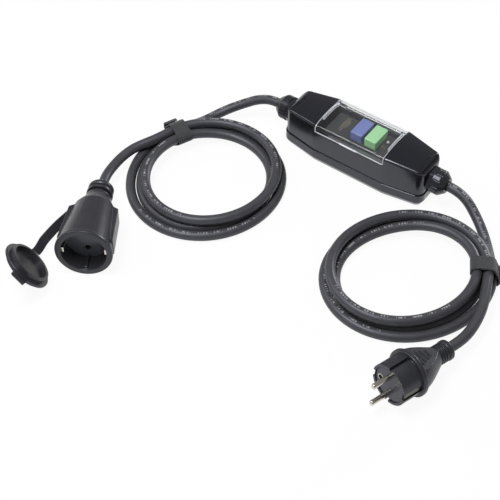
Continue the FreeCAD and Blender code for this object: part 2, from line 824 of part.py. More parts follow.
def gland(way, side):
    """A threaded body through the end wall, its locknut, seal and ribbed dome nut."""
    def at(x):
        return Vec(way * x, 0, gland_z)

    wall_x = box_length / 2
    inner_x = wall_x - wall
    tip_x = wall_x - gland_inside
    flange_x = wall_x + flange_length
    neck_x = flange_x + neck_length
    nose_x = flange_x + nut_length
    body = rod(gland_thread_d / 2, at(tip_x), at(wall_x))
    body = body.fuse([hexagon(flange_af, at(wall_x), at(flange_x)),
                      rod(neck_thread_d / 2, at(flange_x), at(neck_x))])
    keep("gland_body_" + side, body.cut(rod(gland_bore_d / 2, at(tip_x - 1), at(neck_x + 1))))
    locknut = hexagon(locknut_af, at(inner_x), at(inner_x - locknut_height))
    keep("gland_locknut_" + side,
         locknut.cut(rod(gland_thread_d / 2 + 0.05, at(inner_x + 1), at(tip_x - 1))))
    grip_x = flange_x + nut_grip_length
    nut = rod(nut_d / 2, at(flange_x), at(grip_x))
    dome = Part.makeCone(nut_d / 2, nut_nose_d / 2, nose_x - grip_x, at(grip_x), Vec(way, 0, 0))
    nut = nut.fuse(dome).removeSplitter()
    nut = nut.makeFillet(3.0, edges_near(nut, lambda e: abs(abs(e.BoundBox.Center.x) - grip_x) < 0.1
                                         and e.BoundBox.YLength > nut_d - 1))
    for k in range(nut_grooves):
        a = 2 * math.pi * (k + 0.5) / nut_grooves
        off = Vec(0, math.cos(a), math.sin(a)) * (nut_d / 2 + 0.3)
        nut = nut.cut(rod(nut_groove_d / 2, at(flange_x + 1) + off, at(nose_x) + off))
    nut = nut.cut(rod(neck_thread_d / 2 + thread_gap, at(flange_x - 1), at(neck_x + seal_length)))
    nut = nut.cut(rod(nut_nose_bore_d / 2, at(neck_x), at(nose_x + 1)))
    keep("gland_nut_" + side, nut.removeSplitter())
    keep("gland_seal_" + side, ring(seal_d / 2, cord_r + 0.05, at(neck_x), at(neck_x + seal_length)))
    keep("cord_entry_" + side, rod(cord_r, at(jacket_end_x), at(nose_x)))
    keep("cores_" + side, *cores(way))
    return at(nose_x), Vec(way, 0, 0)


def hull_wire(centres, radius, place):
    """The tight outline round circles whose centres make a convex loop, put in place."""
    edges = []
    count = len(centres)
    normals = []
    for k in range(count):
        u = centres[(k + 1) % count][0] - centres[k][0]
        v = centres[(k + 1) % count][1] - centres[k][1]
        size = math.hypot(u, v)
        normals.append((v / size, -u / size))
    for k in range(count):
        n0 = normals[k - 1]
        n1 = normals[k]
        mid = (n0[0] + n1[0], n0[1] + n1[1])
        size = math.hypot(*mid)
        mid = (mid[0] / size, mid[1] / size)
        p, q, r = [place(centres[k][0] + radius * n[0], centres[k][1] + radius * n[1])
                   for n in (n0, mid, n1)]
        edges.append(Part.Arc(p, q, r).toShape())
        nxt = centres[(k + 1) % count]
        edges.append(Part.LineSegment(r, place(nxt[0] + radius * n1[0],
                                               nxt[1] + radius * n1[1])).toShape())
    return Part.Wire(edges)


def tie(coil):
    """A hook-and-loop band pulled round the four strands, with its end folded back outside."""
    middle = Vec(*coil["centre"], 0)
    along = Vec(0, 0, 0)
    for s in range(coil_turns + 1):
        along += coil_way(coil, s) * coil["sense"]
    along = Vec(along.x, along.y, 0).normalize()
    out = along.cross(UP)
    passes = [coil_point(coil, s) - middle for s in (0, coil_turns, 2, 1)]
    strands = [(p.dot(out), p.z) for p in passes]
    middle += along * (sum(p.dot(along) for p in passes) / len(passes))

    def place(r, z):
        return middle + out * r + UP * z - along * (tie_width / 2)

    inner_r = cord_r + tie_gap
    outer_r = inner_r + tie_thickness
    band = Part.Face(hull_wire(strands, outer_r, place)).extrude(along * tie_width)
    hole = Part.Face(hull_wire(strands, inner_r, place)).extrude(along * tie_width)
    first_r, first_z = strands[0]
    face_r = first_r + outer_r
    low = first_z - cord_r + 1.0

    def corner(r, z):
        return middle + out * r + UP * z - along * (tongue_width / 2)

    fold = rounded_wire([corner(face_r - outer_r, low), corner(face_r + tongue_reach, low),
                         corner(face_r + tongue_reach - 1, low + tongue_height),
                         corner(face_r - outer_r, low + tongue_height + 1)], [0.5, 2.0, 2.0, 0.5])
    flap = Part.Face(fold).extrude(along * tongue_width)
    return band.fuse(flap).cut(hole).removeSplitter()


def local_place(origin, heading, tilt, roll):
    """Turns a piece built along +Z so that it points along a heading, tilted up and rolled."""
    place = FreeCAD.Placement(Vec(0, 0, 0), FreeCAD.Rotation(UP, roll))
    place = FreeCAD.Placement(Vec(0, 0, 0), FreeCAD.Rotation(Vec(0, 1, 0), 90)).multiply(
        FreeCAD.Placement(Vec(0, 0, 0), FreeCAD.Rotation(UP, 180))).multiply(place)
    place = FreeCAD.Placement(Vec(0, 0, 0), FreeCAD.Rotation(Vec(0, 1, 0), -tilt)).multiply(place)
    place = FreeCAD.Placement(Vec(0, 0, 0), FreeCAD.Rotation(UP, heading)).multiply(place)
    return FreeCAD.Placement(origin, FreeCAD.Rotation()).multiply(place)


def placed(shape, place):
    moved = shape.copy()
    moved.Placement = place.multiply(moved.Placement)
    return moved


def turned(r_z):
    """A solid of revolution about Z from (radius, height) points."""
    points = [Vec(r, 0, z) for r, z in r_z]
    wire = Part.makePolygon(points + [points[0]])
    return Part.Face(wire).revolve(Vec(0, 0, 0), UP, 360)


def on_floor(shape):
    """How far a placed piece has to rise to rest on the floor."""
    return -shape.optimalBoundingBox(True).ZMin


def grip_solid():
    """The plug's grip: a round taper with two slanting flats and bars across them."""
    front = plug_flange_thickness
    back = grip_line[-1][1]
    points = [Vec(r, 0, -z) for r, z in grip_line]
    curve = Part.BSplineCurve()
    curve.interpolate(points)
    low = [Vec(points[-1].x, 0, -back), Vec(0, 0, -back), Vec(0, 0, -front), points[0]]
    sides = [Part.LineSegment(low[k], low[k + 1]).toShape() for k in range(3)]
    taper = Part.Face(Part.Wire([curve.toShape()] + sides)).revolve(Vec(0, 0, 0), UP, 360)
    flats = [Vec(grip_front_half, 0, -front), Vec(grip_back_half, 0, -back - 1),
             Vec(-grip_back_half, 0, -back - 1), Vec(-grip_front_half, 0, -front)]
    slab = Part.Face(Part.makePolygon(flats + [flats[0]])).extrude(Vec(0, 60, 0))
    slab.translate(Vec(0, -30, 0))
    grip = taper.common(slab)
    slope = (grip_front_half - grip_back_half) / (back + 1 - front)
    for k in range(grip_bars):
        z = -grip_bar_start - k * grip_bar_pitch
        half = (grip_bar_length - k * grip_bar_shrink) / 2
        face_x = grip_front_half - slope * (-z - front)
        for way in (-1, 1):
            bar = box(0, grip_bar_height + 0.6, -half, half, z - grip_bar_width / 2, z + grip_bar_width / 2)
            bar.translate(Vec(face_x - 0.6, 0, 0))
            if way < 0:
                bar.rotate(Vec(0, 0, 0), UP, 180)
            grip = grip.fuse(bar)
    return grip


def plug():
    """The plug in its own frame: x up, z towards the tips of the pins."""
    flange = rod(plug_flange_r, UP * -plug_flange_thickness, Vec(0, 0, 0))
    flange = flange.makeFillet(1.2, flange.Edges)
    body = flange.fuse(rod(plug_front_r, UP * -1, UP * plug_front_length)).fuse(grip_solid())
    z = -grip_line[-1][1]
    neck_end = z - plug_neck_ribs * (plug_neck_rib + plug_neck_groove) - plug_neck_groove
    body = body.fuse(rod(plug_neck_r, UP * (z + 0.5), UP * (neck_end - 0.5)))
    for k in range(plug_neck_ribs):
        top = z - plug_neck_groove - k * (plug_neck_rib + plug_neck_groove)
        body = body.fuse(rod(plug_neck_rib_r, UP * top, UP * (top - plug_neck_rib)))
    bead = rod(plug_bead_r, UP * neck_end, UP * (neck_end - plug_bead_length))
    body = body.fuse(bead.makeFillet(1.6, bead.Edges))
    cord_end = neck_end - plug_bead_length
    bore_r = plug_front_r - plug_shell_wall
    face_z = plug_front_length - plug_face_depth
    body = body.cut(rod(bore_r, UP * -insert_root, UP * (plug_front_length + 1)))
    channels = []
    for way in (-1, 1):
        deep = plug_front_r - earth_channel_depth
        side = box(-earth_channel_width / 2, earth_channel_width / 2, deep, 30, 0, 40)
        groove = box(plug_front_r - guide_groove_depth, 30, -guide_groove_width / 2,
                     guide_groove_width / 2, 0, 40)
        if way < 0:
            side.rotate(Vec(0, 0, 0), UP, 180)
            groove.rotate(Vec(0, 0, 0), UP, 180)
        channels += [side, groove]
    body = body.cut(Part.makeCompound(channels)).removeSplitter()
    insert = rod(bore_r, UP * -insert_root, UP * face_z).cut(Part.makeCompound(channels))
    pins = []
    for way in (-1, 1):
        at = Vec(way * pin_spacing / 2, 0, 0)
        insert = insert.cut(rod(pin_root_d / 2, at + UP * (face_z - pin_root), at + UP * (face_z + 1)))
        pin = rod(pin_d / 2, at + UP * face_z, at + UP * (face_z + pin_length))
        pin = pin.makeFillet(pin_tip_r, edges_near(
            pin, lambda e: e.BoundBox.ZMin > face_z + pin_length - 0.1))
        pins.append(pin.fuse(rod(pin_root_d / 2, at + UP * (face_z - pin_root), at + UP * (face_z + 1))))
    hole = Vec(0, earth_tube_offset, 0)
    tube_z = face_z - earth_tube_depth
    insert = insert.cut(rod(earth_tube_d / 2, hole + UP * tube_z, hole + UP * (face_z + 1)))
    earth = [ring(earth_tube_d / 2, earth_tube_bore_d / 2, hole + UP * tube_z, hole + UP * face_z)]
    inner = plug_front_r - earth_channel_depth
    for way in (-1, 1):
        strip = box(-earth_strip_width / 2, earth_strip_width / 2, inner,
                    inner + earth_strip_thickness, 0, face_z)
        if way < 0:
            strip.rotate(Vec(0, 0, 0), UP, 180)
        earth.append(strip)
    return {"plug_body": [body], "plug_insert": [insert.removeSplitter()], "plug_pins": pins,
            "plug_earth_contacts": earth}, cord_end


def coupling():
    """The coupling in its own frame: x up, z from its cord end to its mouth."""
    length = coupling_length
    neck_top = coupling_neck_z + coupling_neck_length
    rim = length - coupling_rim_length
    shell = turned([(0, 0), (coupling_bead_r - 1.4, 0), (coupling_bead_r, 1.4),
                    (coupling_bead_r, coupling_neck_z - 1.6), (coupling_bead_r - 1.2, coupling_neck_z),
                    (coupling_neck_r, coupling_neck_z), (coupling_neck_r, neck_top),
                    (coupling_bulge_r - 1.0, neck_top), (coupling_bulge_r, neck_top + 1.0),
                    (coupling_bulge_r, coupling_bulge_z), (coupling_back_r, coupling_back_z),
                    (coupling_mouth_r - 0.4, rim - 0.6), (coupling_rim_r, rim),
                    (coupling_rim_r, length - 1.0), (coupling_rim_r - 0.6, length), (0, length)])
    slope = (coupling_mouth_r - coupling_back_r) / (length - coupling_back_z)
    for way in (-1, 1):
        near_r = coupling_back_r + slope * (side_panel_from - coupling_back_z) + side_panel_proud
        far_r = coupling_back_r + slope * (side_panel_to - coupling_back_z) + side_panel_end_proud
        outline = [Vec(0, 8, side_panel_from - 8), Vec(0, near_r, side_panel_from),
                   Vec(0, far_r, side_panel_to), Vec(0, 8, side_panel_to)]
        panel = Part.Face(Part.makePolygon(outline + [outline[0]])).extrude(Vec(side_panel_width, 0, 0))
        panel.translate(Vec(-side_panel_width / 2, 0, 0))
        if way < 0:
            panel.rotate(Vec(0, 0, 0), UP, 180)
        shell = shell.fuse(panel)
    floor_z = length - recess_depth
    seat_z = floor_z - insert_length
    shell = shell.cut(rod(recess_r, UP * seat_z, UP * (length + 1)))
    ribs = []
    for way in (-1, 1):
        rib = box(recess_r - guide_rib_reach, recess_r + 0.4, -guide_rib_width / 2,
                  guide_rib_width / 2, floor_z, length - guide_rib_margin)
        if way < 0:
            rib.rotate(Vec(0, 0, 0), UP, 180)
        ribs.append(rib)
    shell = shell.fuse(ribs).removeSplitter()
    insert = rod(recess_r, UP * seat_z, UP * floor_z)
    contacts = []
    tube_r = pin_d / 2 + contact_wall
    for way in (-1, 1):
        at = Vec(way * pin_spacing / 2, 0, 0)
        cover_z = floor_z - contact_cover
        insert = insert.cut(rod(contact_hole_d / 2, at + UP * cover_z, at + UP * (floor_z + 1)))
        insert = insert.cut(rod(tube_r, at + UP * (cover_z - contact_length), at + UP * cover_z))
        contacts.append(ring(tube_r, pin_d / 2, at + UP * (cover_z - contact_length), at + UP * cover_z))
    clips = []
    for way in (-1, 1):
        clip = box(-clip_width / 2, clip_width / 2, recess_r - clip_reach,
                   recess_r - clip_reach + clip_thickness, floor_z, length - clip_margin)
        foot = box(-clip_width / 2, clip_width / 2, recess_r - clip_reach, recess_r - 0.4,
                   length - clip_margin - clip_thickness, length - clip_margin)
        clip = clip.fuse(foot).removeSplitter()
        if way < 0:
            clip.rotate(Vec(0, 0, 0), UP, 180)
        clips.append(clip)
    return {"coupling_shell": [shell], "coupling_insert": [insert], "coupling_contacts": contacts,
            "coupling_earth_clips": clips}


def cap():
    """The cap in its own frame: z out of its open side, with a tab and the strap's tongue."""
    thick = cap_flange_thickness
    disc = rod(cap_flange_r, Vec(0, 0, 0), UP * thick)
    disc = disc.makeFillet(0.9, disc.Edges)
    step = rod(cap_step_r, UP * -cap_step_height, UP * 1)
    disc = disc.fuse(step.makeFillet(0.8, edges_near(step, lambda e: e.BoundBox.ZMax < -1)))
    outer = recess_r - cap_plug_gap
    top = thick + cap_plug_height
    lip = ring(outer, outer - cap_plug_wall, UP * (thick - 1), UP * top)
    disc = disc.fuse(lip)
    flat = (thick - cap_tab_thickness) / 2
    tab = box(cap_flange_r - 4, cap_flange_r + cap_tab_reach, -cap_tab_width / 2, cap_tab_width / 2,
              flat, flat + cap_tab_thickness)
    tab = tab.makeFillet(2.0, edges_near(tab, lambda e: e.BoundBox.XMin > cap_flange_r + 1
                                         and e.BoundBox.ZLength > 1))
    tab.rotate(Vec(0, 0, 0), UP, cap_tab_angle)
    end = cap_flange_r + cap_tongue_reach
    low = (thick - strap_thickness) / 2
    tongue = box(cap_flange_r - 4, end, -strap_width / 2, strap_width / 2, low, low + strap_thickness)
    nose = Vec(end, -strap_width / 2, thick / 2)
    tongue = tongue.fuse(rod(strap_thickness / 2, nose, nose + Vec(0, strap_width, 0)))
    tongue.rotate(Vec(0, 0, 0), UP, cap_strap_angle)
    return disc.fuse([tab, tongue]).removeSplitter()


def smooth_points(knots, first_way, last_way, step):
    """Even points on cubic curves through the knots that leave and arrive the ways given."""
    ways = [first_way]
    for k in range(1, len(knots) - 1):
        ways.append((knots[k + 1] - knots[k - 1]).normalize())
    ways.append(last_way)
    points = [knots[0]]
    for k in range(len(knots) - 1):
        a = knots[k]
        b = knots[k + 1]
        pull = (b - a).Length
        count = max(1, round(pull / step))
        for j in range(1, count + 1):
            t = j / count
            u = 1 - t
            points.append(a * (u * u * (1 + 2 * t)) + b * (t * t * (3 - 2 * t))
                          + ways[k] * (t * u * u * pull) - ways[k + 1] * (t * t * u * pull))
    return points


def free_route(start, start_way, knots, end, end_way):
    """A cord's points: a straight end at each side and smooth runs between."""
    first = start + start_way * (cord_d * 1.05)
    last = end - end_way * (cord_d * 1.05)
    middle = smooth_points([first] + [Vec(*k) for k in knots] + [last], start_way, end_way, route_step)
    return [start] + middle + [end]


def ribbon(points, ways, sides):
    """A strap of even width and thickness through sections square to its way."""
    sections = []
    for p, way, side in zip(points, ways, sides):
        across = (side - way * side.dot(way)).normalize() * (strap_width / 2)
        thick = way.cross(across).normalize() * (strap_thickness / 2)
        ring_points = [p - across - thick, p + across - thick, p + across + thick, p - across + thick]
        sections.append(Part.makePolygon(ring_points + [ring_points[0]]))
    return Part.makeLoft(sections, True, False)


for maker in (base_shell, housing_gasket, top_shell, button_panel, clear_lid):
    keep(maker.__name__, maker())
keep("lid_hinge_pins", *hinge_pins())
for key_name in button_xs:
    keep(key_name + "_button", push_button(key_name))
    keep(key_name + "_spring", spring(key_name))
electronics()
screw_z = screw_recess - screw_head_height
keep("housing_screws", *[rod(screw_head_d / 2, p + UP * screw_z, p + UP * screw_recess).fuse(
    rod(screw_d / 2, p + UP * screw_recess, p + UP * (screw_z + screw_length))) for p in screws])
left_nose, left_out = gland(-1, "left")
right_nose, right_out = gland(1, "right")

# Coils and their ties
for side, coil in (("left", left_coil), ("right", right_coil)):
    edges = coil_edges(coil)
    keep("coil_" + side, cord_piece("coil_" + side, edges))
    print("coil", side, "length", round(sum(e.Length for e in edges)),
          "least gap between turns", round(least_self_gap(edges, cord_r), 2))
    keep("tie_" + side, tie(coil))
(left_start, left_in), (left_end, left_off) = coil_ends(left_coil)
(right_start, right_in), (right_end, right_off) = coil_ends(right_coil)

# Plug and coupling, each resting on the floor
plug_pieces, plug_cord_z = plug()
place = local_place(Vec(*plug_at, 0), plug_heading, plug_tilt, plug_roll)
rise = on_floor(placed(plug_pieces["plug_body"][0], place))
plug_place = local_place(Vec(*plug_at, rise), plug_heading, plug_tilt, plug_roll)
for name, shapes in plug_pieces.items():
    keep(name, *[placed(s, plug_place) for s in shapes])
plug_cord = plug_place.multVec(UP * plug_cord_z)
plug_in = plug_place.Rotation.multVec(UP)
coupling_pieces = coupling()
place = local_place(Vec(*coupling_at, 0), coupling_heading, coupling_tilt, 0)
rise = on_floor(placed(coupling_pieces["coupling_shell"][0], place))
coupling_place = local_place(Vec(*coupling_at, rise), coupling_heading, coupling_tilt, 0)
for name, shapes in coupling_pieces.items():
    keep(name, *[placed(s, coupling_place) for s in shapes])
socket_cord = coupling_place.multVec(Vec(0, 0, 0))
socket_in = coupling_place.Rotation.multVec(UP)

# Cap and strap
cap_shape = cap()
rise = on_floor(placed(cap_shape, local_place(Vec(*cap_at, 0), cap_heading, cap_tilt, 0)))
cap_place = local_place(Vec(*cap_at, rise), cap_heading, cap_tilt, 0)
keep("cap", placed(cap_shape, cap_place))
spoke = Vec(math.cos(math.radians(cap_strap_angle)), math.sin(math.radians(cap_strap_angle)), 0)
hinge_at = cap_place.multVec(spoke * (cap_flange_r + cap_tongue_reach) + UP * (cap_flange_thickness / 2))
hinge_way = cap_place.Rotation.multVec(UP.cross(spoke))
ring_z = coupling_neck_z + ring_margin + ring_thickness / 2
eye_r = coupling_neck_r + ring_gap
rim_r = eye_r + ring_wall
band = ring(rim_r, eye_r, UP * (ring_z - ring_thickness / 2), UP * (ring_z + ring_thickness / 2))
turn = math.radians(strap_angle)
radial = Vec(math.sin(turn), math.cos(turn), 0)
start = coupling_place.multVec(radial * (rim_r - 0.8) + UP * ring_z)
start_way = coupling_place.Rotation.multVec(radial)
start_side = coupling_place.Rotation.multVec(UP.cross(radial))
strap_way = (hinge_at - Vec(*strap_route[-1])).normalize()
strap_slant = abs(strap_way.dot(hinge_way)) * strap_width / 2
strap_end = hinge_at - strap_way * (strap_thickness / 2 + cap_hinge_gap + strap_slant)
knots = [start, start + start_way * 4 + socket_in * 4] + [Vec(*k) for k in strap_route] + [strap_end]
line = smooth_points(knots, start_way, strap_way, 9.0)
ways = [start_way] + [(line[k + 1] - line[k - 1]).normalize() for k in range(1, len(line) - 1)]
ways.append(strap_way)
if start_side.dot(hinge_way) < 0:
    hinge_way = hinge_way * -1
sides = [start_side * (1 - k / (len(line) - 1)) + hinge_way * (k / (len(line) - 1))
         for k in range(len(line))]
keep("cap_strap", ribbon(line, ways, sides).fuse(placed(band, coupling_place)).removeSplitter())

# Free cords
routes = {
    "cord_left": free_route(left_nose, left_out, left_box_route, left_start, left_in * -1),
    "cord_right": free_route(right_nose, right_out, right_box_route, right_start, right_in * -1),
    "cord_coupling": free_route(left_end, left_off, socket_route, socket_cord, socket_in),
    "cord_plug": free_route(right_end, right_off, plug_route, plug_cord, plug_in),
}
for name, points in routes.items():
    keep(name, cord_piece(name, route_edges(name, points)))
    print([tuple(round(c, 1) for c in p) for p in points])
face_z = plug_front_length - plug_face_depth
tube_z = coupling_length - recess_depth - contact_cover - contact_length / 2
for name, frame, point in (
        ("pin a", plug_place, Vec(pin_spacing / 2, 0, face_z + (pin_length - pin_tip_r) / 2)),
        ("pin b", plug_place, Vec(-pin_spacing / 2, 0, face_z + (pin_length - pin_tip_r) / 2)),
        ("earth hole", plug_place, Vec(0, earth_tube_offset, face_z - earth_tube_depth / 2)),
        ("contact a", coupling_place, Vec(pin_spacing / 2, 0, tube_z)),
        ("contact b", coupling_place, Vec(-pin_spacing / 2, 0, tube_z)),
        ("recess floor", coupling_place, Vec(0, 0, coupling_length - recess_depth)),
        ("mouth", coupling_place, Vec(0, 0, coupling_length)),
        ("strap ring", coupling_place, Vec(0, 0, ring_z)),
        ("cap floor", cap_place, Vec(0, 0, cap_flange_thickness))):
    print(name, [round(c, 4) for c in frame.multVec(point)],
          [round(c, 6) for c in frame.Rotation.multVec(UP)])
print("cap hinge", [round(c, 4) for c in hinge_at], [round(c, 6) for c in hinge_way])

os.makedirs("parts", exist_ok=True)
for node, shape in pieces.items():
    shape.exportStep("parts/" + node + ".step")
    solids = len(shape.Solids)
    if not shape.isValid():
        print("not valid", node)
print(len(pieces), "nodes")
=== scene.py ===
# %% [markdown]
# # An in-line residual current protector on a rubber extension cord
#
# The real object is a black box with a clear lid over a blue and a green key. A rubber cord
# runs out of each end: one is coiled up to a plug, the other to a coupling with a strapped cap.
# The CAD model already holds every solid at its true size, so this file gives it its looks:
# the camera and the light, the soft cords, the edges that catch the light, and the finishes.

import json
import math

import bmesh
import bpy
import numpy as np
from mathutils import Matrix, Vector
from mathutils.bvhtree import BVHTree


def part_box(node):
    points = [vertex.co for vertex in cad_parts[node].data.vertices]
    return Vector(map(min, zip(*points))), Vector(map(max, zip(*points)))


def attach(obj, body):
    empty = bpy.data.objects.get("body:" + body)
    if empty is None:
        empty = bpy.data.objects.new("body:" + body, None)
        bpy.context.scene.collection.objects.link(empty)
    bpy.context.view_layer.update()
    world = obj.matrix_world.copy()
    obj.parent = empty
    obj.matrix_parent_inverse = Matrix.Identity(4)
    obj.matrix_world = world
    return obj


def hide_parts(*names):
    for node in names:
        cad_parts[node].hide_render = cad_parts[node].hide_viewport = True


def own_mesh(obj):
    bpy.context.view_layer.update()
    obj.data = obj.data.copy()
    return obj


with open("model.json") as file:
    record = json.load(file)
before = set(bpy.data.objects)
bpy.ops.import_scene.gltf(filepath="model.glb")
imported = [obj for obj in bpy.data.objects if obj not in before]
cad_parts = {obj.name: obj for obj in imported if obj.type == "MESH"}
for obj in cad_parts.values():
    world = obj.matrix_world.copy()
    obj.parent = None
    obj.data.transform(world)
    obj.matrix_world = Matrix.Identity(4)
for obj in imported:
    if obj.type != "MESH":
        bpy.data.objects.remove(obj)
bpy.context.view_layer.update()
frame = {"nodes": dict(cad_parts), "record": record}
nodes = frame["nodes"]
scene = bpy.context.scene
scene.view_settings.view_transform = "Standard"

# %% [markdown]
# ## Camera
#
# The photograph looks down on the object from well above the front. The box runs away to the
# right at an angle, so the camera stands to the right of the part's own front.
# A long lens from about a metre away keeps both coils nearly round.

# %% Camera
PICTURE = 500
LENS = 81.7
FILM = 36.0
EYE = Vector((0.3691, -0.6766, 0.7679))
AIM = Vector((-0.0196, -0.1487, 0.0))

camera = bpy.data.objects.new("camera", bpy.data.cameras.new("camera"))
camera.data.lens = LENS
camera.data.sensor_width = FILM
camera.data.clip_start = 0.01
camera.location = EYE
camera.rotation_euler = (AIM - EYE).to_track_quat("-Z", "Y").to_euler()
scene.collection.objects.link(camera)
scene.camera = camera
pixels = LENS / FILM * PICTURE / (AIM - EYE).length / 1000
print("pixels per millimetre at the aim:", round(pixels, 3))

# %% [markdown]
# ## Floor and light
#
# The object stands on plain white. A lit floor alone would come out grey, so for rays that
# come straight from the camera, off gloss or through the lid, part of it glows white instead.
# The rest still takes the shadow. The key lamp hangs in front, where the flat roofs don't
# mirror it towards the camera and the rounded edges do: that gives the black box its edges.
# A low one behind draws a sheen along the coupling, the cords and the box's sloped end, and
# a small one beside the key lamp draws the bright lines along the lid's near corner.

# %% Node helpers
def new_material(name):
    """A material with its node tree and its main shader."""
    made = bpy.data.materials.new(name)
    made.use_nodes = True
    return made, made.node_tree, made.node_tree.nodes["Principled BSDF"]


def add(tree, kind, **values):
    """A node whose inputs, by name with _ for a space, or own settings are given."""
    node = tree.nodes.new(kind)
    for key, value in values.items():
        words = key.replace("_", " ")
        named = [s for s in node.inputs if s.name.lower() == words.lower()]
        if named and not hasattr(node, key):
            named[0].default_value = value
        else:
            setattr(node, key, value)
    return node


def join(tree, *pairs):
    """Links each (output socket, input socket) pair."""
    for out, into in pairs:
        tree.links.new(out, into)


def maths(tree, operation, *values):
    """The output of a maths node whose inputs are numbers or output sockets."""
    node = add(tree, "ShaderNodeMath", operation=operation)
    for k, value in enumerate(values):
        if isinstance(value, (int, float)):
            node.inputs[k].default_value = value
        else:
            tree.links.new(value, node.inputs[k])
    return node.outputs[0]


# %% Floor
FLOOR_HALF = 12.0
PAPER_WHITE = 0.86
GLOW_SHARE = 0.93

mesh = bpy.data.meshes.new("floor")
corners = [(x * FLOOR_HALF, y * FLOOR_HALF, 0) for x, y in ((-1, -1), (1, -1), (1, 1), (-1, 1))]
mesh.from_pydata(corners, [], [(0, 1, 2, 3)])
floor = bpy.data.objects.new("floor", mesh)
scene.collection.objects.link(floor)
paper, tree, shader = new_material("paper")
shader.inputs["Base Color"].default_value = (PAPER_WHITE, PAPER_WHITE, PAPER_WHITE, 1)
shader.inputs["Roughness"].default_value = 0.9
seen = add(tree, "ShaderNodeLightPath").outputs
glow = add(tree, "ShaderNodeEmission", Strength=1.0)
either = maths(tree, "MAXIMUM", seen["Is Camera Ray"], seen["Is Glossy Ray"])
direct = maths(tree, "MAXIMUM", either, seen["Is Transmission Ray"])
mix = add(tree, "ShaderNodeMixShader")
join(tree, (maths(tree, "MULTIPLY", direct, GLOW_SHARE), mix.inputs[0]),
     (shader.outputs[0], mix.inputs[1]), (glow.outputs[0], mix.inputs[2]),
     (mix.outputs[0], tree.nodes["Material Output"].inputs["Surface"]))
floor.data.materials.append(paper)
print("floor", 2 * FLOOR_HALF, "m wide, and", GLOW_SHARE, "of it glows where it is seen")

# %% [markdown]
# Lamps are rectangles given by where they are, what they look at, their size and their watts.
# The sky is white where the camera sees it, also straight through the lid, and dim to
# everything else, so that it lights the object only as much as a room's walls would.

# %% Lamps and sky
LAMPS = {
    "key_lamp": ((-0.11, -0.46, 1.15), (-0.11, -0.06, 0.0), (0.26, 0.70), 10.0),
    "left_lamp": ((-1.3, -0.5, 1.0), (0.0, -0.1, 0.0), (0.6, 0.6), 4.5),
    "back_lamp": ((0.22, 1.1, 0.36), (0.0, -0.1, 0.0), (0.30, 0.25), 6.0),
    "eave_lamp": ((-0.36, -0.40, 1.15), (0.05, -0.02, 0.04), (0.16, 0.40), 2.5),
}
SKY_LEVEL = 0.26


def lamp(name, at, aim, size, power):
    """A soft rectangular lamp that looks at a point."""
    data = bpy.data.lights.new(name, "AREA")
    data.shape = "RECTANGLE"
    data.size, data.size_y = size
    data.energy = power
    made = bpy.data.objects.new(name, data)
    made.location = at
    made.rotation_euler = (Vector(aim) - Vector(at)).to_track_quat("-Z", "Y").to_euler()
    scene.collection.objects.link(made)


for name, values in LAMPS.items():
    lamp(name, *values)
print(len(LAMPS), "lamps of", sum(values[3] for values in LAMPS.values()), "watts together")

sky = bpy.data.worlds.new("sky")
sky.use_nodes = True
tree = sky.node_tree
background = tree.nodes["Background"].inputs
background["Color"].default_value = (1, 1, 1, 1)
seen = add(tree, "ShaderNodeLightPath").outputs
either = maths(tree, "MAXIMUM", seen["Is Camera Ray"], seen["Is Transmission Ray"])
straight = maths(tree, "SUBTRACT", either, seen["Glossy Depth"])
level = add(tree, "ShaderNodeMapRange", clamp=True, To_Min=SKY_LEVEL, To_Max=1.0)
join(tree, (straight, level.inputs["Value"]), (level.outputs[0], background["Strength"]))
scene.world = sky

# %% [markdown]
# ## Surfaces
#
# Every new piece is a surface over two parameters, worked out as one numpy array.
# Its faces come from the array's shape, so one helper turns any such grid into a mesh.

# %% Grid surfaces
def grid_faces(rows, columns):
    """Quads (r, c), (r, c+1), (r+1, c+1), (r+1, c). The last column meets the first."""
    r, c = np.meshgrid(np.arange(rows - 1), np.arange(columns), indexing="ij")
    on = (c + 1) % columns
    here, above = r * columns, (r + 1) * columns
    return np.stack([here + c, here + on, above + on, above + c], -1).reshape(-1, 4)


def new_piece(name, points, faces, material, uv):
    """A smooth mesh object from points (n, 3), lists of faces, and uv (n, 2) for its pattern."""
    made = bpy.data.meshes.new(name)
    made.from_pydata(points.reshape(-1, 3).tolist(), [], [list(map(int, f)) for f in faces])
    corner = np.zeros(len(made.loops), np.int32)
    made.loops.foreach_get("vertex_index", corner)
    made.uv_layers.new(name="UVMap").data.foreach_set("uv", uv[corner].astype(np.float32).ravel())
    made.polygons.foreach_set("use_smooth", [True] * len(made.polygons))
    made.materials.append(material)
    made.validate()
    piece = bpy.data.objects.new(name, made)
    scene.collection.objects.link(piece)
    return piece


def carried_frames(path):
    """Two unit vectors across a path at each point, turned as little as possible along it."""
    way = np.gradient(path, axis=0)
    way /= np.linalg.norm(way, axis=1)[:, None]
    up = np.array([0.0, 0.0, 1.0])
    side = np.cross(way, up)
    side /= np.linalg.norm(side, axis=1)[:, None]
    return side, np.cross(side, way)


def length_along(path):
    """The length from a path's start to each of its points."""
    return np.concatenate([[0], np.cumsum(np.linalg.norm(np.diff(path, axis=0), axis=1))])


def tube(name, path, radius, material, around=24):
    """Points = path + radius (side cos a + over sin a), with uv in metres along and turns around.
    Gives the piece and its length."""
    side, over = carried_frames(path)
    a = np.linspace(0, 2 * math.pi, around, endpoint=False)
    rings = (path[:, None] + radius * (side[:, None] * np.cos(a)[None, :, None]
                                       + over[:, None] * np.sin(a)[None, :, None]))
    along = length_along(path)
    uv = np.stack(np.broadcast_arrays(along[:, None], a / (2 * math.pi)), -1).reshape(-1, 2)
    faces = [list(f)[::-1] for f in grid_faces(len(path), around)]
    last = (len(path) - 1) * around
    faces += [list(range(around)), list(range(last, last + around))[::-1]]
    return new_piece(name, rings, faces, material, uv), along[-1]

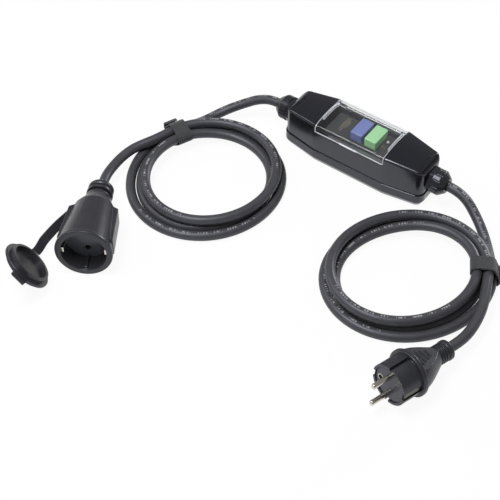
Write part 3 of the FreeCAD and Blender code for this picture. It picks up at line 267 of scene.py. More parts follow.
# %% [markdown]
# ## Cords
#
# Each cord is one length of rubber cable, 9.2 mm thick: out of its gland, down to the floor,
# three turns in a coil that a tie holds, and on to what it feeds. The route repeats the CAD
# model's points, and a NURBS spline turns them into one smooth bend. The coil is a formula:
# the turns draw in by a pitch each, climb a layer where they reverse, and draw out again.

# %% Routes in metres
CORD_D = 0.0092
PITCH = CORD_D + 0.0006
TURNS = 3
CLIMB = 0.5
TIE_LIFT = 0.0024
STEPS_PER_TURN = 24

left_coil = dict(centre=(-0.0995, -0.1049), tie_angle=155.0, sense=1, first_r=0.0742,
                 reversal=1.92, oval=0.0024, oval_angle=79.0)
right_coil = dict(centre=(0.1081, -0.0953), tie_angle=35.0, sense=-1, first_r=0.0720,
                  reversal=1.74, oval=0.0046, oval_angle=58.0)
left_lead = [(-0.0925, 0, 0.0265), (-0.1022, 0, 0.0265), (-0.1157, -0.0042, 0.0230),
             (-0.1275, -0.0125, 0.0170), (-0.1368, -0.0209, 0.0124), (-0.1445, -0.0310, 0.0084),
             (-0.1484, -0.0401, 0.0070), (-0.1520, -0.0496, 0.0068), (-0.1566, -0.0581, 0.0069)]
right_lead = [(0.0925, 0, 0.0265), (0.1022, 0, 0.0265), (0.1144, -0.0019, 0.0228),
              (0.1255, -0.0068, 0.0170), (0.1355, -0.0130, 0.0126), (0.1448, -0.0203, 0.0085),
              (0.1530, -0.0292, 0.0068), (0.1589, -0.0369, 0.0069)]
coupling_lead = [(-0.1631, -0.0941, 0.0167), (-0.1662, -0.1033, 0.0166), (-0.1745, -0.1190, 0.0150),
                 (-0.1767, -0.1294, 0.0147), (-0.1770, -0.1400, 0.0146), (-0.1759, -0.1511, 0.0144),
                 (-0.1738, -0.1621, 0.0144), (-0.1696, -0.1722, 0.0150), (-0.1646, -0.1804, 0.0161)]
plug_lead = [(0.1733, -0.0713, 0.0167), (0.1770, -0.0802, 0.0166), (0.1812, -0.0919, 0.0163),
             (0.1842, -0.1041, 0.0157), (0.1857, -0.1166, 0.0153), (0.1855, -0.1291, 0.0152),
             (0.1831, -0.1411, 0.0159), (0.1804, -0.1503, 0.0168)]


def coil_place(coil, s, grow=1.0):
    """After s turns: radius = first_r + oval cos 2(angle - oval_angle) - pitch * turns drawn in,
    height = half the cord + the lift over the tie + a pitch, smoothly, where the turns reverse."""
    s = np.asarray(s, float)
    turn = np.where(s < coil["reversal"], s, 2 * coil["reversal"] - s)
    angle = math.radians(coil["tie_angle"]) + coil["sense"] * 2 * math.pi * s
    swell = coil["oval"] * np.cos(2 * (angle - math.radians(coil["oval_angle"])))
    radius = (coil["first_r"] + swell - PITCH * turn) * grow
    climbed = np.clip((s - coil["reversal"] + CLIMB / 2) / CLIMB, 0, 1)
    height = (CORD_D / 2 + TIE_LIFT * np.maximum(0, np.cos(2 * math.pi * s)) ** 2
              + PITCH * climbed ** 2 * (3 - 2 * climbed))
    x, y = coil["centre"]
    return np.stack([x + radius * np.cos(angle), y + radius * np.sin(angle), height], -1)


def coil_controls(coil, s):
    """Control points a little outside the coil, since the spline runs inside its corners."""
    return coil_place(coil, s, 4 / (3 + math.cos(2 * math.pi / STEPS_PER_TURN)))


# %% Smooth lines
def smooth_line(name, points, resolution=6):
    """The points of an open NURBS spline of order 3 that has these control points."""
    curve = bpy.data.curves.new(name, "CURVE")
    curve.dimensions = "3D"
    curve.resolution_u = resolution
    spline = curve.splines.new("NURBS")
    spline.points.add(len(points) - 1)
    spline.points.foreach_set("co", np.c_[points, np.ones(len(points))].ravel())
    spline.order_u = 3
    spline.use_endpoint_u = True
    holder = bpy.data.objects.new(name, curve)
    line = bpy.data.meshes.new_from_object(holder)
    found = np.zeros(len(line.vertices) * 3)
    line.vertices.foreach_get("co", found)
    bpy.data.objects.remove(holder)
    return found.reshape(-1, 3)


turns = np.linspace(0, TURNS, TURNS * STEPS_PER_TURN + 1)
left_line = smooth_line("left_route",
                        np.vstack([left_lead, coil_controls(left_coil, turns), coupling_lead]))
right_line = smooth_line("right_route",
                         np.vstack([right_lead, coil_controls(right_coil, turns), plug_lead]))
print("points along the cords:", len(left_line), len(right_line))

# %% [markdown]
# ## Finish helpers
#
# Moulded plastic and rubber are never one flat colour: the pigment drifts a little, the shine
# drifts with it, and the mould leaves a grain. Each finish is a noise between two near
# colours, a second between two roughnesses, and a fine bump whose depth is in metres.

# %% Finish helpers
COOL = (0.86, 0.88, 1.0, 1)
BLACK_BELOW = 0.06


def within(tree, value, middle, half):
    """1 where a value lies less than half from middle, else 0."""
    off = maths(tree, "ABSOLUTE", maths(tree, "SUBTRACT", value, middle))
    return maths(tree, "LESS_THAN", off, half)


def mixed(tree, share, low, high):
    """A colour between two, which are colours or output sockets."""
    node = add(tree, "ShaderNodeMix", data_type="RGBA")
    for slot, value in ((0, share), (6, low), (7, high)):
        if isinstance(value, (int, float, tuple)):
            node.inputs[slot].default_value = value
        else:
            tree.links.new(value, node.inputs[slot])
    return node.outputs[2]


def noise(tree, vector, scale, detail=3.0):
    """Noise of a scale per metre at each point."""
    node = add(tree, "ShaderNodeTexNoise", Scale=scale, Detail=detail)
    tree.links.new(vector, node.inputs["Vector"])
    return node.outputs[0]


def roughened(tree, shader, share, rough):
    """Roughness between two values, by a share."""
    spread = add(tree, "ShaderNodeMapRange", To_Min=rough[0], To_Max=rough[1])
    join(tree, (share, spread.inputs["Value"]), (spread.outputs[0], shader.inputs["Roughness"]))


def bumped(tree, shader, height, depth):
    """A bump by a height of 0 to 1, which is depth metres at 1."""
    bump = add(tree, "ShaderNodeBump", Distance=depth, Strength=1.0)
    join(tree, (height, bump.inputs["Height"]), (bump.outputs[0], shader.inputs["Normal"]))


def surface(tree, shader, vector, rough, wander, depth, grain):
    """Roughness that wanders between two values, and a grain of a depth in metres."""
    roughened(tree, shader, noise(tree, vector, wander), rough)
    bumped(tree, shader, noise(tree, vector, grain), depth)


def finish(name, dark, pale, rough, mottle=40.0, grain=1400.0, depth=0.00001, **sockets):
    """A moulded finish from two near colours, two roughnesses, and a grain. Black ones reflect
    a little cool, as carbon black does."""
    made, tree, shader = new_material(name)
    at = add(tree, "ShaderNodeTexCoord").outputs["Object"]
    drift = mixed(tree, noise(tree, at, mottle), (*dark, 1), (*pale, 1))
    join(tree, (drift, shader.inputs["Base Color"]))
    surface(tree, shader, at, rough, mottle * 1.6, depth, grain)
    if max(pale) < BLACK_BELOW:
        shader.inputs["Specular Tint"].default_value = COOL
    for key, value in sockets.items():
        shader.inputs[key.replace("_", " ")].default_value = value
    return made


def parts_of(tree, socket):
    """The three parts of a vector socket."""
    node = add(tree, "ShaderNodeSeparateXYZ")
    tree.links.new(socket, node.inputs[0])
    return node.outputs

# %% [markdown]
# The jacket is black rubber that looks dark grey in the light, with a faint mottle and bloom,
# and a row of small pale dashes along one side. The cord's own uv gives metres along it and
# turns around it, so the row bends with the cord. Dashes stand close together in runs, and
# runs in groups: each is the part of a repeat that lies below a share of it.

# %% Cord finish
JACKET = (0.036, 0.036, 0.042, 1)
JACKET_PALE = (0.060, 0.060, 0.068, 1)
INK = (0.40, 0.40, 0.41, 1)
INK_SHARE = 0.62
GROUP_PITCH, GROUP_SHARE = 0.235, 0.50
RUN_PITCH, RUN_SHARE = 0.0135, 0.66
DASH_PITCH, DASH_LEAST, DASH_SPREAD = 0.0024, 0.1, 0.8
ROW_AT, ROW_REACH = 0.235, 0.030

jacket, tree, shader = new_material("cord_jacket")
place = add(tree, "ShaderNodeTexCoord")
colour = mixed(tree, noise(tree, place.outputs["Object"], 60.0), JACKET, JACKET_PALE)
along, around, _ = parts_of(tree, place.outputs["UV"])


def repeats(pitch, share):
    """1 along the first share of each pitch of the cord, else 0."""
    gone = maths(tree, "FRACT", maths(tree, "DIVIDE", along, pitch))
    return maths(tree, "LESS_THAN", gone, share)


chance = add(tree, "ShaderNodeTexWhiteNoise", noise_dimensions="1D")
join(tree, (maths(tree, "FLOOR", maths(tree, "DIVIDE", along, DASH_PITCH)), chance.inputs["W"]))
dash_share = maths(tree, "MULTIPLY", chance.outputs["Value"], DASH_SPREAD)
dash_share = maths(tree, "ADD", dash_share, DASH_LEAST)
inked = within(tree, around, ROW_AT, ROW_REACH)
for pitch, share in ((GROUP_PITCH, GROUP_SHARE), (RUN_PITCH, RUN_SHARE), (DASH_PITCH, dash_share)):
    inked = maths(tree, "MULTIPLY", inked, repeats(pitch, share))
inked_colour = mixed(tree, maths(tree, "MULTIPLY", inked, INK_SHARE), colour, INK)
join(tree, (inked_colour, shader.inputs["Base Color"]))
surface(tree, shader, place.outputs["Object"], (0.34, 0.50), 90.0, 0.00006, 1400.0)
shader.inputs["Specular Tint"].default_value = COOL
print("dashes every", DASH_PITCH * 1000, "mm, in groups every", GROUP_PITCH * 1000, "mm")

# %% The two cords
left_cord, left_length = tube("left_cord", left_line, CORD_D / 2, jacket)
right_cord, right_length = tube("right_cord", right_line, CORD_D / 2, jacket)
for cord, replaced in ((left_cord, ("cord_left", "coil_left", "cord_coupling")),
                       (right_cord, ("cord_right", "coil_right", "cord_plug"))):
    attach(cord, "housing")
    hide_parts(*replaced)
print("cord lengths in metres:", round(left_length, 3), round(right_length, 3))

# %% [markdown]
# ## Rounded edges
#
# No moulding has knife edges: each edge is a small round that catches the light as a pale
# line. Bevel makes that, but it needs whole faces, and a CAD mesh is loose triangles. So each
# shown solid is copied, its doubles merged, its flat triangles joined, and then rounded. The
# faces' own sizes then weigh the normals, which keeps the flats flat beside their rounds.

# %% Rounded copies
BODY_OF = {node: body for body, members in frame["record"]["behaviour"]["bodies"].items()
           for node in members}
SAME_POINT = 2e-6
FLAT = math.radians(0.5)
SHARP = math.radians(27)
SLIVER = math.radians(140)
KEPT_SHARP = math.radians(50)
OUTSIDE_WITHIN = 0.0003
THROWN_SHARE = 0.6


def stand_in(piece, *replaced):
    """The piece rides, and takes its slot, as the CAD nodes that it stands for."""
    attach(piece, BODY_OF[replaced[0]])
    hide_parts(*replaced)
    return piece


def read(items, name, width=1, kind=float):
    """One value, or a row of values, for each item of a mesh."""
    found = np.zeros(len(items) * width, kind)
    items.foreach_get(name, found)
    return found.reshape(-1, width) if width > 1 else found


def edge_facts(mesh):
    """Each edge's middle, the angle between its two faces' normals, and whether it's outside:
    no point of the mesh is farther out than it along one of the normals."""
    points = read(mesh.vertices, "co", 3)
    middle = points[read(mesh.edges, "vertices", 2, int)].mean(1)
    face = np.repeat(np.arange(len(mesh.polygons)), read(mesh.polygons, "loop_total", kind=int))
    edge = read(mesh.loops, "edge_index", kind=int)
    order = np.argsort(edge, kind="stable")
    pairs = np.flatnonzero(edge[order][1:] == edge[order][:-1])
    found = edge[order][pairs]
    normal = read(mesh.polygons, "normal", 3)
    two = np.stack([normal[face[order[pairs]]], normal[face[order[pairs + 1]]]])
    angle = np.zeros(len(mesh.edges))
    angle[found] = np.arccos(np.clip(np.sum(two[0] * two[1], axis=1), -1, 1))
    bent = angle[found] > SHARP
    reach = np.sum(middle[found[bent]] * two[:, bent], axis=2)
    farthest = np.max(two[:, bent] @ points.T, axis=2)
    outer = np.zeros(len(mesh.edges), bool)
    outer[found[bent]] = (reach - farthest).max(0) > -OUTSIDE_WITHIN
    return middle, angle, outer


def settle(piece, solid, most):
    """Makes a piece's modifiers its mesh, and puts each point that a crowded corner threw
    farther off the solid than most back on it. The faces' sizes then weigh the normals."""
    bpy.context.view_layer.update()
    shaped = piece.evaluated_get(bpy.context.evaluated_depsgraph_get())
    found = bpy.data.meshes.new_from_object(shaped)
    piece.modifiers.clear()
    piece.data = found
    points = read(found.vertices, "co", 3)
    nearest = [solid.find_nearest(Vector(p)) for p in points]
    thrown = np.array([hit[3] for hit in nearest]) > most
    if thrown.any():
        points[thrown] = [tuple(nearest[k][0]) for k in np.flatnonzero(thrown)]
        found.vertices.foreach_set("co", points.ravel())
    found.polygons.foreach_set("use_smooth", [True] * len(found.polygons))
    found.set_sharp_from_angle(angle=KEPT_SHARP)
    weighted = piece.modifiers.new("normals", "WEIGHTED_NORMAL")
    weighted.keep_sharp = True
    return int(thrown.sum())


def rounded(node, radius, material, pick=None, wide=None, wide_radius=0.0, round_material=None):
    """A merged copy of a CAD solid, in place of it, with its sharp edges rounded: all, or those
    that pick keeps, and by a wider radius those that wide keeps. Rounds may take another material."""
    form = bmesh.new()
    form.from_mesh(nodes[node].data)
    bmesh.ops.remove_doubles(form, verts=form.verts, dist=SAME_POINT)
    solid = BVHTree.FromBMesh(form)
    bmesh.ops.dissolve_limit(form, angle_limit=FLAT, verts=form.verts, edges=form.edges)
    made = bpy.data.meshes.new(node + "_rounded")
    form.to_mesh(made)
    form.free()
    made.materials.clear()
    made.materials.append(material)
    piece = bpy.data.objects.new(node + "_rounded", made)
    scene.collection.objects.link(piece)
    middle, angle, outer = edge_facts(made)
    most = max(radius, wide_radius)
    share = np.where((angle > SHARP) & (angle < SLIVER), radius / most, 0.0)
    if pick:
        share *= pick(middle, outer)
    if wide:
        share = np.where((share > 0) & wide(middle, outer), 1.0, share)
    weight = made.attributes.new("bevel_weight_edge", "FLOAT", "EDGE")
    weight.data.foreach_set("value", share.astype(np.float32))
    edges = piece.modifiers.new("edges", "BEVEL")
    edges.limit_method, edges.width, edges.segments = "WEIGHT", most, 4 if wide else 3
    edges.use_clamp_overlap = False
    if round_material:
        made.materials.append(round_material)
        edges.material = 1
    thrown = settle(piece, solid, THROWN_SHARE * most)
    stand_in(piece, node)
    print(piece.name, len(piece.data.polygons), "faces,", thrown, "points put back")
    return piece

# %% [markdown]
# ## The protector's housing
#
# Two shells of black plastic with a high gloss. Black gloss has almost no colour of its own:
# what is seen is the white surroundings, faintly, on the sides, and the lamps along its
# rounded upper edges. So its colour is nearly black, and its roughness low.

# %% Housing shells
ROOF_LOW = 0.0395
LID_END = 0.0368

gloss_black = finish("gloss_black", (0.0060, 0.0060, 0.0085), (0.010, 0.010, 0.014), (0.14, 0.24),
                     mottle=30.0, grain=2600.0, depth=0.000002, Specular_IOR_Level=0.75)


def roof_edges(middle, outer):
    """The edges round the two roofs, but not those that face the lid."""
    return (middle[:, 2] > ROOF_LOW) & (np.abs(middle[:, 0]) > LID_END)


def outside(middle, outer):
    """The edges on the outside alone."""
    return outer


rounded("top_shell", 0.0005, gloss_black, outside, roof_edges, 0.0019)
rounded("base_shell", 0.0006, gloss_black, outside)

# %% [markdown]
# ## Key panel
#
# A dark plate under the lid surrounds both keys, with a few rows of fine yellowish dashes
# beside the blue key and the lamp. Object coordinates give metres across and along the plate:
# a row is where x lies near it and y between its ends, and a noise breaks it into dashes.

# %% Panel with its rows of dashes
ROWS = ((-0.0222, -0.0060, 0.0115), (-0.0200, -0.0075, 0.0125), (-0.0178, -0.0010, 0.0085),
        (0.0232, -0.0045, 0.0000), (0.0258, -0.0040, 0.0005))
ROW_HALF = 0.00035
DASH_GRAIN, DASH_ABOVE = 2300.0, 0.44
DASH_INK, DASH_SHARE = (0.44, 0.38, 0.22, 1), 0.8

panel_grey, tree, shader = new_material("panel_grey")
at = add(tree, "ShaderNodeTexCoord").outputs["Object"]
x, y, _ = parts_of(tree, at)
shown = 0.0
for row_x, low, high in ROWS:
    row = maths(tree, "MULTIPLY", within(tree, x, row_x, ROW_HALF),
                within(tree, y, (low + high) / 2, (high - low) / 2))
    shown = maths(tree, "MAXIMUM", shown, row)
broken = maths(tree, "GREATER_THAN", noise(tree, at, DASH_GRAIN, 0.0), DASH_ABOVE)
shown = maths(tree, "MULTIPLY", maths(tree, "MULTIPLY", shown, broken), DASH_SHARE)
plate = mixed(tree, noise(tree, at, 60.0), (0.022, 0.024, 0.026, 1), (0.034, 0.036, 0.038, 1))
join(tree, (mixed(tree, shown, plate, DASH_INK), shader.inputs["Base Color"]))
surface(tree, shader, at, (0.38, 0.50), 90.0, 0.000012, 2200.0)
rounded("button_panel", 0.00025, panel_grey)
print(len(ROWS), "rows of dashes")

# %% [markdown]
# ## Clear lid
#
# The lid is one moulding of clear plastic, 1.8 mm thick. Glass in Blender bends and reflects
# as it should, but it would throw a black shadow on the keys. So to rays that carry light to
# them it's plainly see-through, and to all others it's a plastic of index 1.49, faintly hazy.
# Light that travels inside the wall comes out at its edges. Their rounds and the finger lip in
# front are painted milky white for it: a painted highlight.

# %% Lid material and edges
PLASTIC_INDEX = 1.49

clear, tree, shader = new_material("clear_plastic")
at = add(tree, "ShaderNodeTexCoord").outputs["Object"]
tint = mixed(tree, noise(tree, at, 30.0), (0.965, 0.975, 0.985, 1), (0.985, 0.99, 0.995, 1))
roughened(tree, shader, noise(tree, at, 70.0), (0.005, 0.03))
bumped(tree, shader, noise(tree, at, 260.0), 0.000004)
shader.inputs["Transmission Weight"].default_value = 1.0
shader.inputs["IOR"].default_value = PLASTIC_INDEX
seen = add(tree, "ShaderNodeLightPath").outputs
plain = maths(tree, "MAXIMUM", seen["Is Shadow Ray"], seen["Is Diffuse Ray"])
open_to_lamps = add(tree, "ShaderNodeBsdfTransparent", Color=(0.93, 0.94, 0.95, 1))
both = add(tree, "ShaderNodeMixShader")
join(tree, (tint, shader.inputs["Base Color"]), (plain, both.inputs[0]),
     (shader.outputs[0], both.inputs[1]), (open_to_lamps.outputs[0], both.inputs[2]),
     (both.outputs[0], tree.nodes["Material Output"].inputs["Surface"]))

# A painted highlight: the edge rounds and the lip take a pale, mostly opaque plastic that stands
# for light coming out of the wall.
painted_bright_edge, tree, shader = new_material("clear_edge_painted_highlight")
at = add(tree, "ShaderNodeTexCoord").outputs["Object"]
milk = mixed(tree, noise(tree, at, 90.0), (0.80, 0.83, 0.87, 1), (0.92, 0.94, 0.97, 1))
join(tree, (milk, shader.inputs["Base Color"]))
surface(tree, shader, at, (0.12, 0.28), 120.0, 0.000004, 900.0)
shader.inputs["Transmission Weight"].default_value = 0.25
shader.inputs["IOR"].default_value = PLASTIC_INDEX
print(clear.name, "and", painted_bright_edge.name, "of index", PLASTIC_INDEX)

# %% Lid with its painted bright edges and lip
KNUCKLE_FRONT, KNUCKLE_TOP = 0.0175, 0.0430
LIP_BACK, LIP_TOP, LIP_HALF = -0.02325, 0.0396, 0.0095


def off_the_knuckles(middle, outer):
    """All edges but those of the small hinge knuckles."""
    return (middle[:, 1] < KNUCKLE_FRONT) | (middle[:, 2] > KNUCKLE_TOP)


lid = rounded("clear_lid", 0.00045, clear, off_the_knuckles, round_material=painted_bright_edge)
faces = lid.data.polygons
x, y, z = read(faces, "center", 3).T
# The finger lip's faces take the painted highlight too.
on_lip = (y < LIP_BACK) & (z < LIP_TOP) & (np.abs(x) < LIP_HALF)
slots = np.where(on_lip, 1, read(faces, "material_index", kind=int))
faces.foreach_set("material_index", slots.astype(np.int32))
print("faces on the finger lip:", int(on_lip.sum()))

# %% [markdown]
# ## Keys and lamp
#
# The blue key tests the protector and the green one resets it. Both are satin plastic, a little
# uneven in tone, and their solids already have rounded edges, so the CAD nodes stay and take a
# better material. The status lamp is a milky lens.

# %% Key and lamp finishes
def paint(material, *names):
    """Gives CAD nodes, which stay as they are, a material."""
    for name in names:
        nodes[name].material_slots[0].material = material
    print(material.name, "on", *names)


satin = dict(rough=(0.34, 0.46), mottle=160.0, grain=2400.0, depth=0.000012)
paint(finish("key_blue", (0.155, 0.190, 0.430), (0.185, 0.222, 0.480), **satin), "test_button")
paint(finish("key_green", (0.340, 0.655, 0.320), (0.395, 0.720, 0.370), **satin), "reset_button")
paint(finish("lamp_lens", (0.62, 0.60, 0.58), (0.78, 0.76, 0.74), (0.06, 0.14), mottle=300.0,
             depth=0.000003, Coat_Weight=0.6), "status_lamp")

# %% [markdown]
# ## Hook-and-loop ties
#
# A soft band holds each coil: 15 mm wide, pulled tight round four strands, with its end folded
# back into a tab. In section the band is the convex line round four circles. That line is
# where each direction's farthest circle is met, so numpy finds it with one argmax. A rounded
# bar is carried round it, and a shorter one over the top makes the overlap.

# %% Tie sections
TIE_GAP = 0.0010
TIE_THICK = 0.0014
TIE_HALF = 0.0075
EDGE_ROUND = 0.0004
WAVE_ACROSS, WAVE_OUT = 0.00012, 0.00005
UP = np.array([0, 0, 1.0])


def tie_place(coil):
    """Centre, the way along the strands, the way out, and each strand's (out, up) at the tie."""
    s = np.array([0.0, TURNS, 2.0, 1.0])
    strands = coil_place(coil, s)
    way = (coil_place(coil, s + 1e-4) - coil_place(coil, s - 1e-4)) * coil["sense"]
    way /= np.linalg.norm(way, axis=1)[:, None]
    along = way.sum(0) * (1, 1, 0)
    along /= np.linalg.norm(along)
    out = np.array([along[1], -along[0], 0.0])
    from_middle = strands - (*coil["centre"], 0)
    middle = np.array([*coil["centre"], 0]) + along * (from_middle @ along).mean()
    return middle, along, out, np.stack([from_middle @ out, strands[:, 2]], -1)


def line_round(strands, radius, count):
    """Even points on the tight line round circles, and its outward directions: in each
    direction the line lies a radius beyond the circle whose centre is farthest that way."""
    angle = np.linspace(0, 2 * math.pi, 1441)
    facing = np.stack([np.cos(angle), np.sin(angle)], -1)
    points = strands[np.argmax(facing @ strands.T, axis=1)] + radius * facing
    gone = length_along(points)
    at = np.linspace(0, gone[-1], count, endpoint=False)
    points, facing = (np.stack([np.interp(at, gone, values[:, k]) for k in (0, 1)], -1)
                      for values in (points, facing))
    return points, facing / np.linalg.norm(facing, axis=1)[:, None]


def rounded_bar(half, low, high):
    """A closed section of (across, thick) points: a quarter circle at each corner, and points
    between along the two wide sides."""
    r = min((high - low) / 2, EDGE_ROUND)
    turn = np.linspace(0, math.pi / 2, 5)
    corners = ((half - r, high - r), (r - half, high - r), (r - half, low + r), (half - r, low + r))
    arcs = []
    for k, (w, t) in enumerate(corners):
        a = turn + k * math.pi / 2
        arcs.append(np.stack([w + r * np.cos(a), t + r * np.sin(a)], -1))
    share = np.linspace(0, 1, 14)[1:-1, None]
    wide = [arcs[k][-1] * (1 - share) + arcs[k + 1][0] * share for k in (0, 2)]
    return np.vstack([arcs[0], wide[0], arcs[1], arcs[2], wide[1], arcs[3]])


def strap_surface(name, coil, line, facing, half, low, high, closed, material):
    """Points = centre + out r + up z + along w, where (r, z) = the line + thick * its facing.
    The edges and the thickness wander a little, as woven tape does."""
    middle, along, out, _ = tie_place(coil)
    bar = rounded_bar(half, low, high)
    rows, count = len(line), len(bar)
    u = (np.arange(rows) / rows * 2 * math.pi)[:, None]
    w = bar[:, 0] * (1 + WAVE_ACROSS * (np.sin(7 * u + 1) + np.sin(13 * u)) / half)
    t = bar[:, 1] + WAVE_OUT * np.sin(19 * u) * (bar[:, 1] > low + 0.0003)
    r, z = line[:, 0:1] + t * facing[:, 0:1], line[:, 1:2] + t * facing[:, 1:2]
    points = middle + out * r[..., None] + UP * z[..., None] + along * w[..., None]
    uv = np.stack(np.broadcast_arrays(length_along(line)[:, None], w), -1).reshape(-1, 2)
    if closed:
        faces = list(grid_faces(rows + 1, count) % (rows * count))
    else:
        last = (rows - 1) * count
        faces = [*grid_faces(rows, count), range(count)[::-1], range(last, last + count)]
    return new_piece(name, points, faces, material, uv)

# %% [markdown]
# The fabric is a loop pile over a weave. The uv holds metres along and across the tape, so
# the weave's rows follow the band round its bends. Sheen gives the pile its soft pale rim.

# %% Tie finish
ROW_PITCH, RIB_PITCH, WEAVE_SHARE = 0.0009, 0.0012, 0.3
PILE_DEPTH = 0.0003

pile, tree, shader = new_material("loop_pile")
place = add(tree, "ShaderNodeTexCoord")
u, v, _ = parts_of(tree, place.outputs["UV"])
rows = maths(tree, "SINE", maths(tree, "MULTIPLY", u, 2 * math.pi / ROW_PITCH))
ribs = maths(tree, "SINE", maths(tree, "MULTIPLY", v, 2 * math.pi / RIB_PITCH))
weave = maths(tree, "MULTIPLY", rows, ribs)
loops = noise(tree, place.outputs["Object"], 1500.0, 2.0)
height = maths(tree, "ADD", maths(tree, "MULTIPLY", weave, WEAVE_SHARE), loops)
bumped(tree, shader, height, PILE_DEPTH)
tape = mixed(tree, loops, (0.014, 0.015, 0.017, 1), (0.050, 0.052, 0.056, 1))
join(tree, (tape, shader.inputs["Base Color"]))
roughened(tree, shader, noise(tree, place.outputs["Object"], 200.0), (0.75, 0.95))
shader.inputs["Sheen Weight"].default_value = 0.25
shader.inputs["Sheen Roughness"].default_value = 0.5
print("weave every", ROW_PITCH * 1000, "by", RIB_PITCH * 1000, "mm")

# %% [markdown]
# A tie is a band, a lap and a tab. They touch and share a finish, so they become one mesh.

# %% Joining meshes
def joined(name, pieces):
    """One mesh from several."""
    form = bmesh.new()
    for piece in pieces:
        form.from_mesh(piece.data)
    made = bpy.data.meshes.new(name)
    form.to_mesh(made)
    form.free()
    made.materials.append(pieces[0].data.materials[0])
    for piece in pieces:
        bpy.data.objects.remove(piece)
    whole = bpy.data.objects.new(name, made)
    scene.collection.objects.link(whole)
    return whole


# %% The two ties
TAB_HALF = 0.00625
TAB_HEIGHT = 0.0110
TAB_AT, TAB_ROUND = 0.0010, 0.0026
TAB_ABOVE_STRAND = 0.0010
TAB_ROOT_IN, TAB_ROOT_LOW, TAB_ROOT_HIGH = 0.0016, 0.0008, 0.0002
POINTS_ROUND = 180
LAP_SHARE, LAP_LIFT = 0.97, 0.00002


def tab_line(face, low):
    """A flattened half circle that stands out from the band's face, with both ends drawn in:
    (out, up) = (cos a, the sign of sin a times its size to the power 0.75)."""
    a = np.linspace(-math.pi / 2, math.pi / 2, 26)
    rise = np.sign(np.sin(a)) * np.abs(np.sin(a)) ** 0.75
    bend = np.stack([face + TAB_AT + TAB_ROUND * np.cos(a),
                     low + TAB_HEIGHT / 2 + (TAB_HEIGHT / 2 - 0.0006) * rise], -1)
    share = np.linspace(0, 1, 8)[:-1, None]
    first = (face - TAB_ROOT_IN, low + TAB_ROOT_LOW)
    last = (face - TAB_ROOT_IN, low + TAB_HEIGHT + TAB_ROOT_HIGH)
    return np.vstack([bend[0] * share + (1 - share) * first, bend,
                      (bend[-1] * (1 - share) + share * last)[1:]])


def make_tie(side, coil):
    """The band, its overlap over the top, and the end folded into a tab."""
    strands = tie_place(coil)[3]
    inner, half_thick = CORD_D / 2 + TIE_GAP, TIE_THICK / 2
    line, facing = line_round(strands, inner, POINTS_ROUND)
    band = strap_surface("band", coil, line, facing, TIE_HALF, 0.0, half_thick, True, pile)
    # The overlap covers the top and the outer side: it faces up, or out and not far down.
    over = (facing[:, 1] > -0.75) & ((facing[:, 0] > -0.6) | (facing[:, 1] > 0.3))
    start = np.flatnonzero(over & ~np.roll(over, 1))[0]
    turned = np.roll(np.arange(len(line)), -start)[:over.sum()]
    lap = strap_surface("lap", coil, line[turned], facing[turned], TIE_HALF * LAP_SHARE,
                        half_thick + LAP_LIFT, TIE_THICK, False, pile)
    r, z = strands[0]
    path = tab_line(r + inner + half_thick, z - CORD_D / 2 + TAB_ABOVE_STRAND)
    way = np.gradient(path, axis=0)
    way /= np.linalg.norm(way, axis=1)[:, None]
    out = np.stack([way[:, 1], -way[:, 0]], -1)
    tab = strap_surface("tab", coil, path, out, TAB_HALF, -half_thick, half_thick * 0.7,
                        False, pile)
    return stand_in(joined("tie_" + side + "_fabric", [band, lap, tab]), "tie_" + side)


left_tie = make_tie("left", left_coil)
right_tie = make_tie("right", right_coil)
print("ties of", len(left_tie.data.polygons), "faces")

# %% [markdown]
# ## Glands
#
# Ribbed nylon: a hexagon against the box and a grooved dome nut that grips the cord. Nylon
# is satin, and the mould leaves it a little uneven. The nuts have their rounds already.

# %% Gland finishes
nylon = finish("gland_nylon", (0.014, 0.014, 0.017), (0.024, 0.024, 0.028), (0.20, 0.34),
               mottle=90.0, grain=1800.0, depth=0.00001)
seal = finish("seal_rubber", (0.020, 0.020, 0.021), (0.034, 0.034, 0.035), (0.62, 0.78),
              mottle=120.0, grain=1500.0, depth=0.00002)
for side in ("left", "right"):
    rounded("gland_body_" + side, 0.0004, nylon)
    paint(nylon, "gland_nut_" + side, "gland_locknut_" + side)
    paint(seal, "gland_seal_" + side)
    paint(jacket, "cord_entry_" + side)
paint(seal, "housing_gasket")

# %% [markdown]
# ## Plug, coupling and cap
#
# All three are moulded in soft black rubber: darker than the cord, with a satin bloom and a
# fine grain from the mould. The inserts that hold the metal are a harder, smoother plastic.

# %% Rubber mouldings
rubber = finish("moulded_rubber", (0.018, 0.018, 0.022), (0.034, 0.034, 0.039), (0.26, 0.40),
                mottle=55.0, grain=1500.0, depth=0.000035)
insert = finish("insert_plastic", (0.024, 0.025, 0.031), (0.040, 0.041, 0.050), (0.24, 0.36),
                mottle=80.0, grain=2200.0, depth=0.00001)
# The coupling's insert is the same plastic as the plug's. It is painted paler as painted light,
# since little light reaches into the coupling's deep mouth.
socket = finish("coupling_insert_painted_light", (0.072, 0.074, 0.088), (0.105, 0.108, 0.125), (0.22, 0.34),
                mottle=80.0, grain=2200.0, Specular_Tint=COOL)
rounded("plug_body", 0.0002, rubber)
rounded("plug_insert", 0.0004, insert)
rounded("coupling_shell", 0.0006, rubber)
rounded("coupling_insert", 0.0003, socket)
rounded("cap_strap", 0.0004, rubber)
paint(rubber, "cap")

# %% [markdown]
# ## Metal
#
# Pins, sleeves and earth springs are nickel on brass: bright, slightly warm, with fine lines
# from turning. Springs and screws are plain steel. Metal gets its colour from its
# reflection, so Metallic is 1 and the lines are only roughness and a very fine bump.

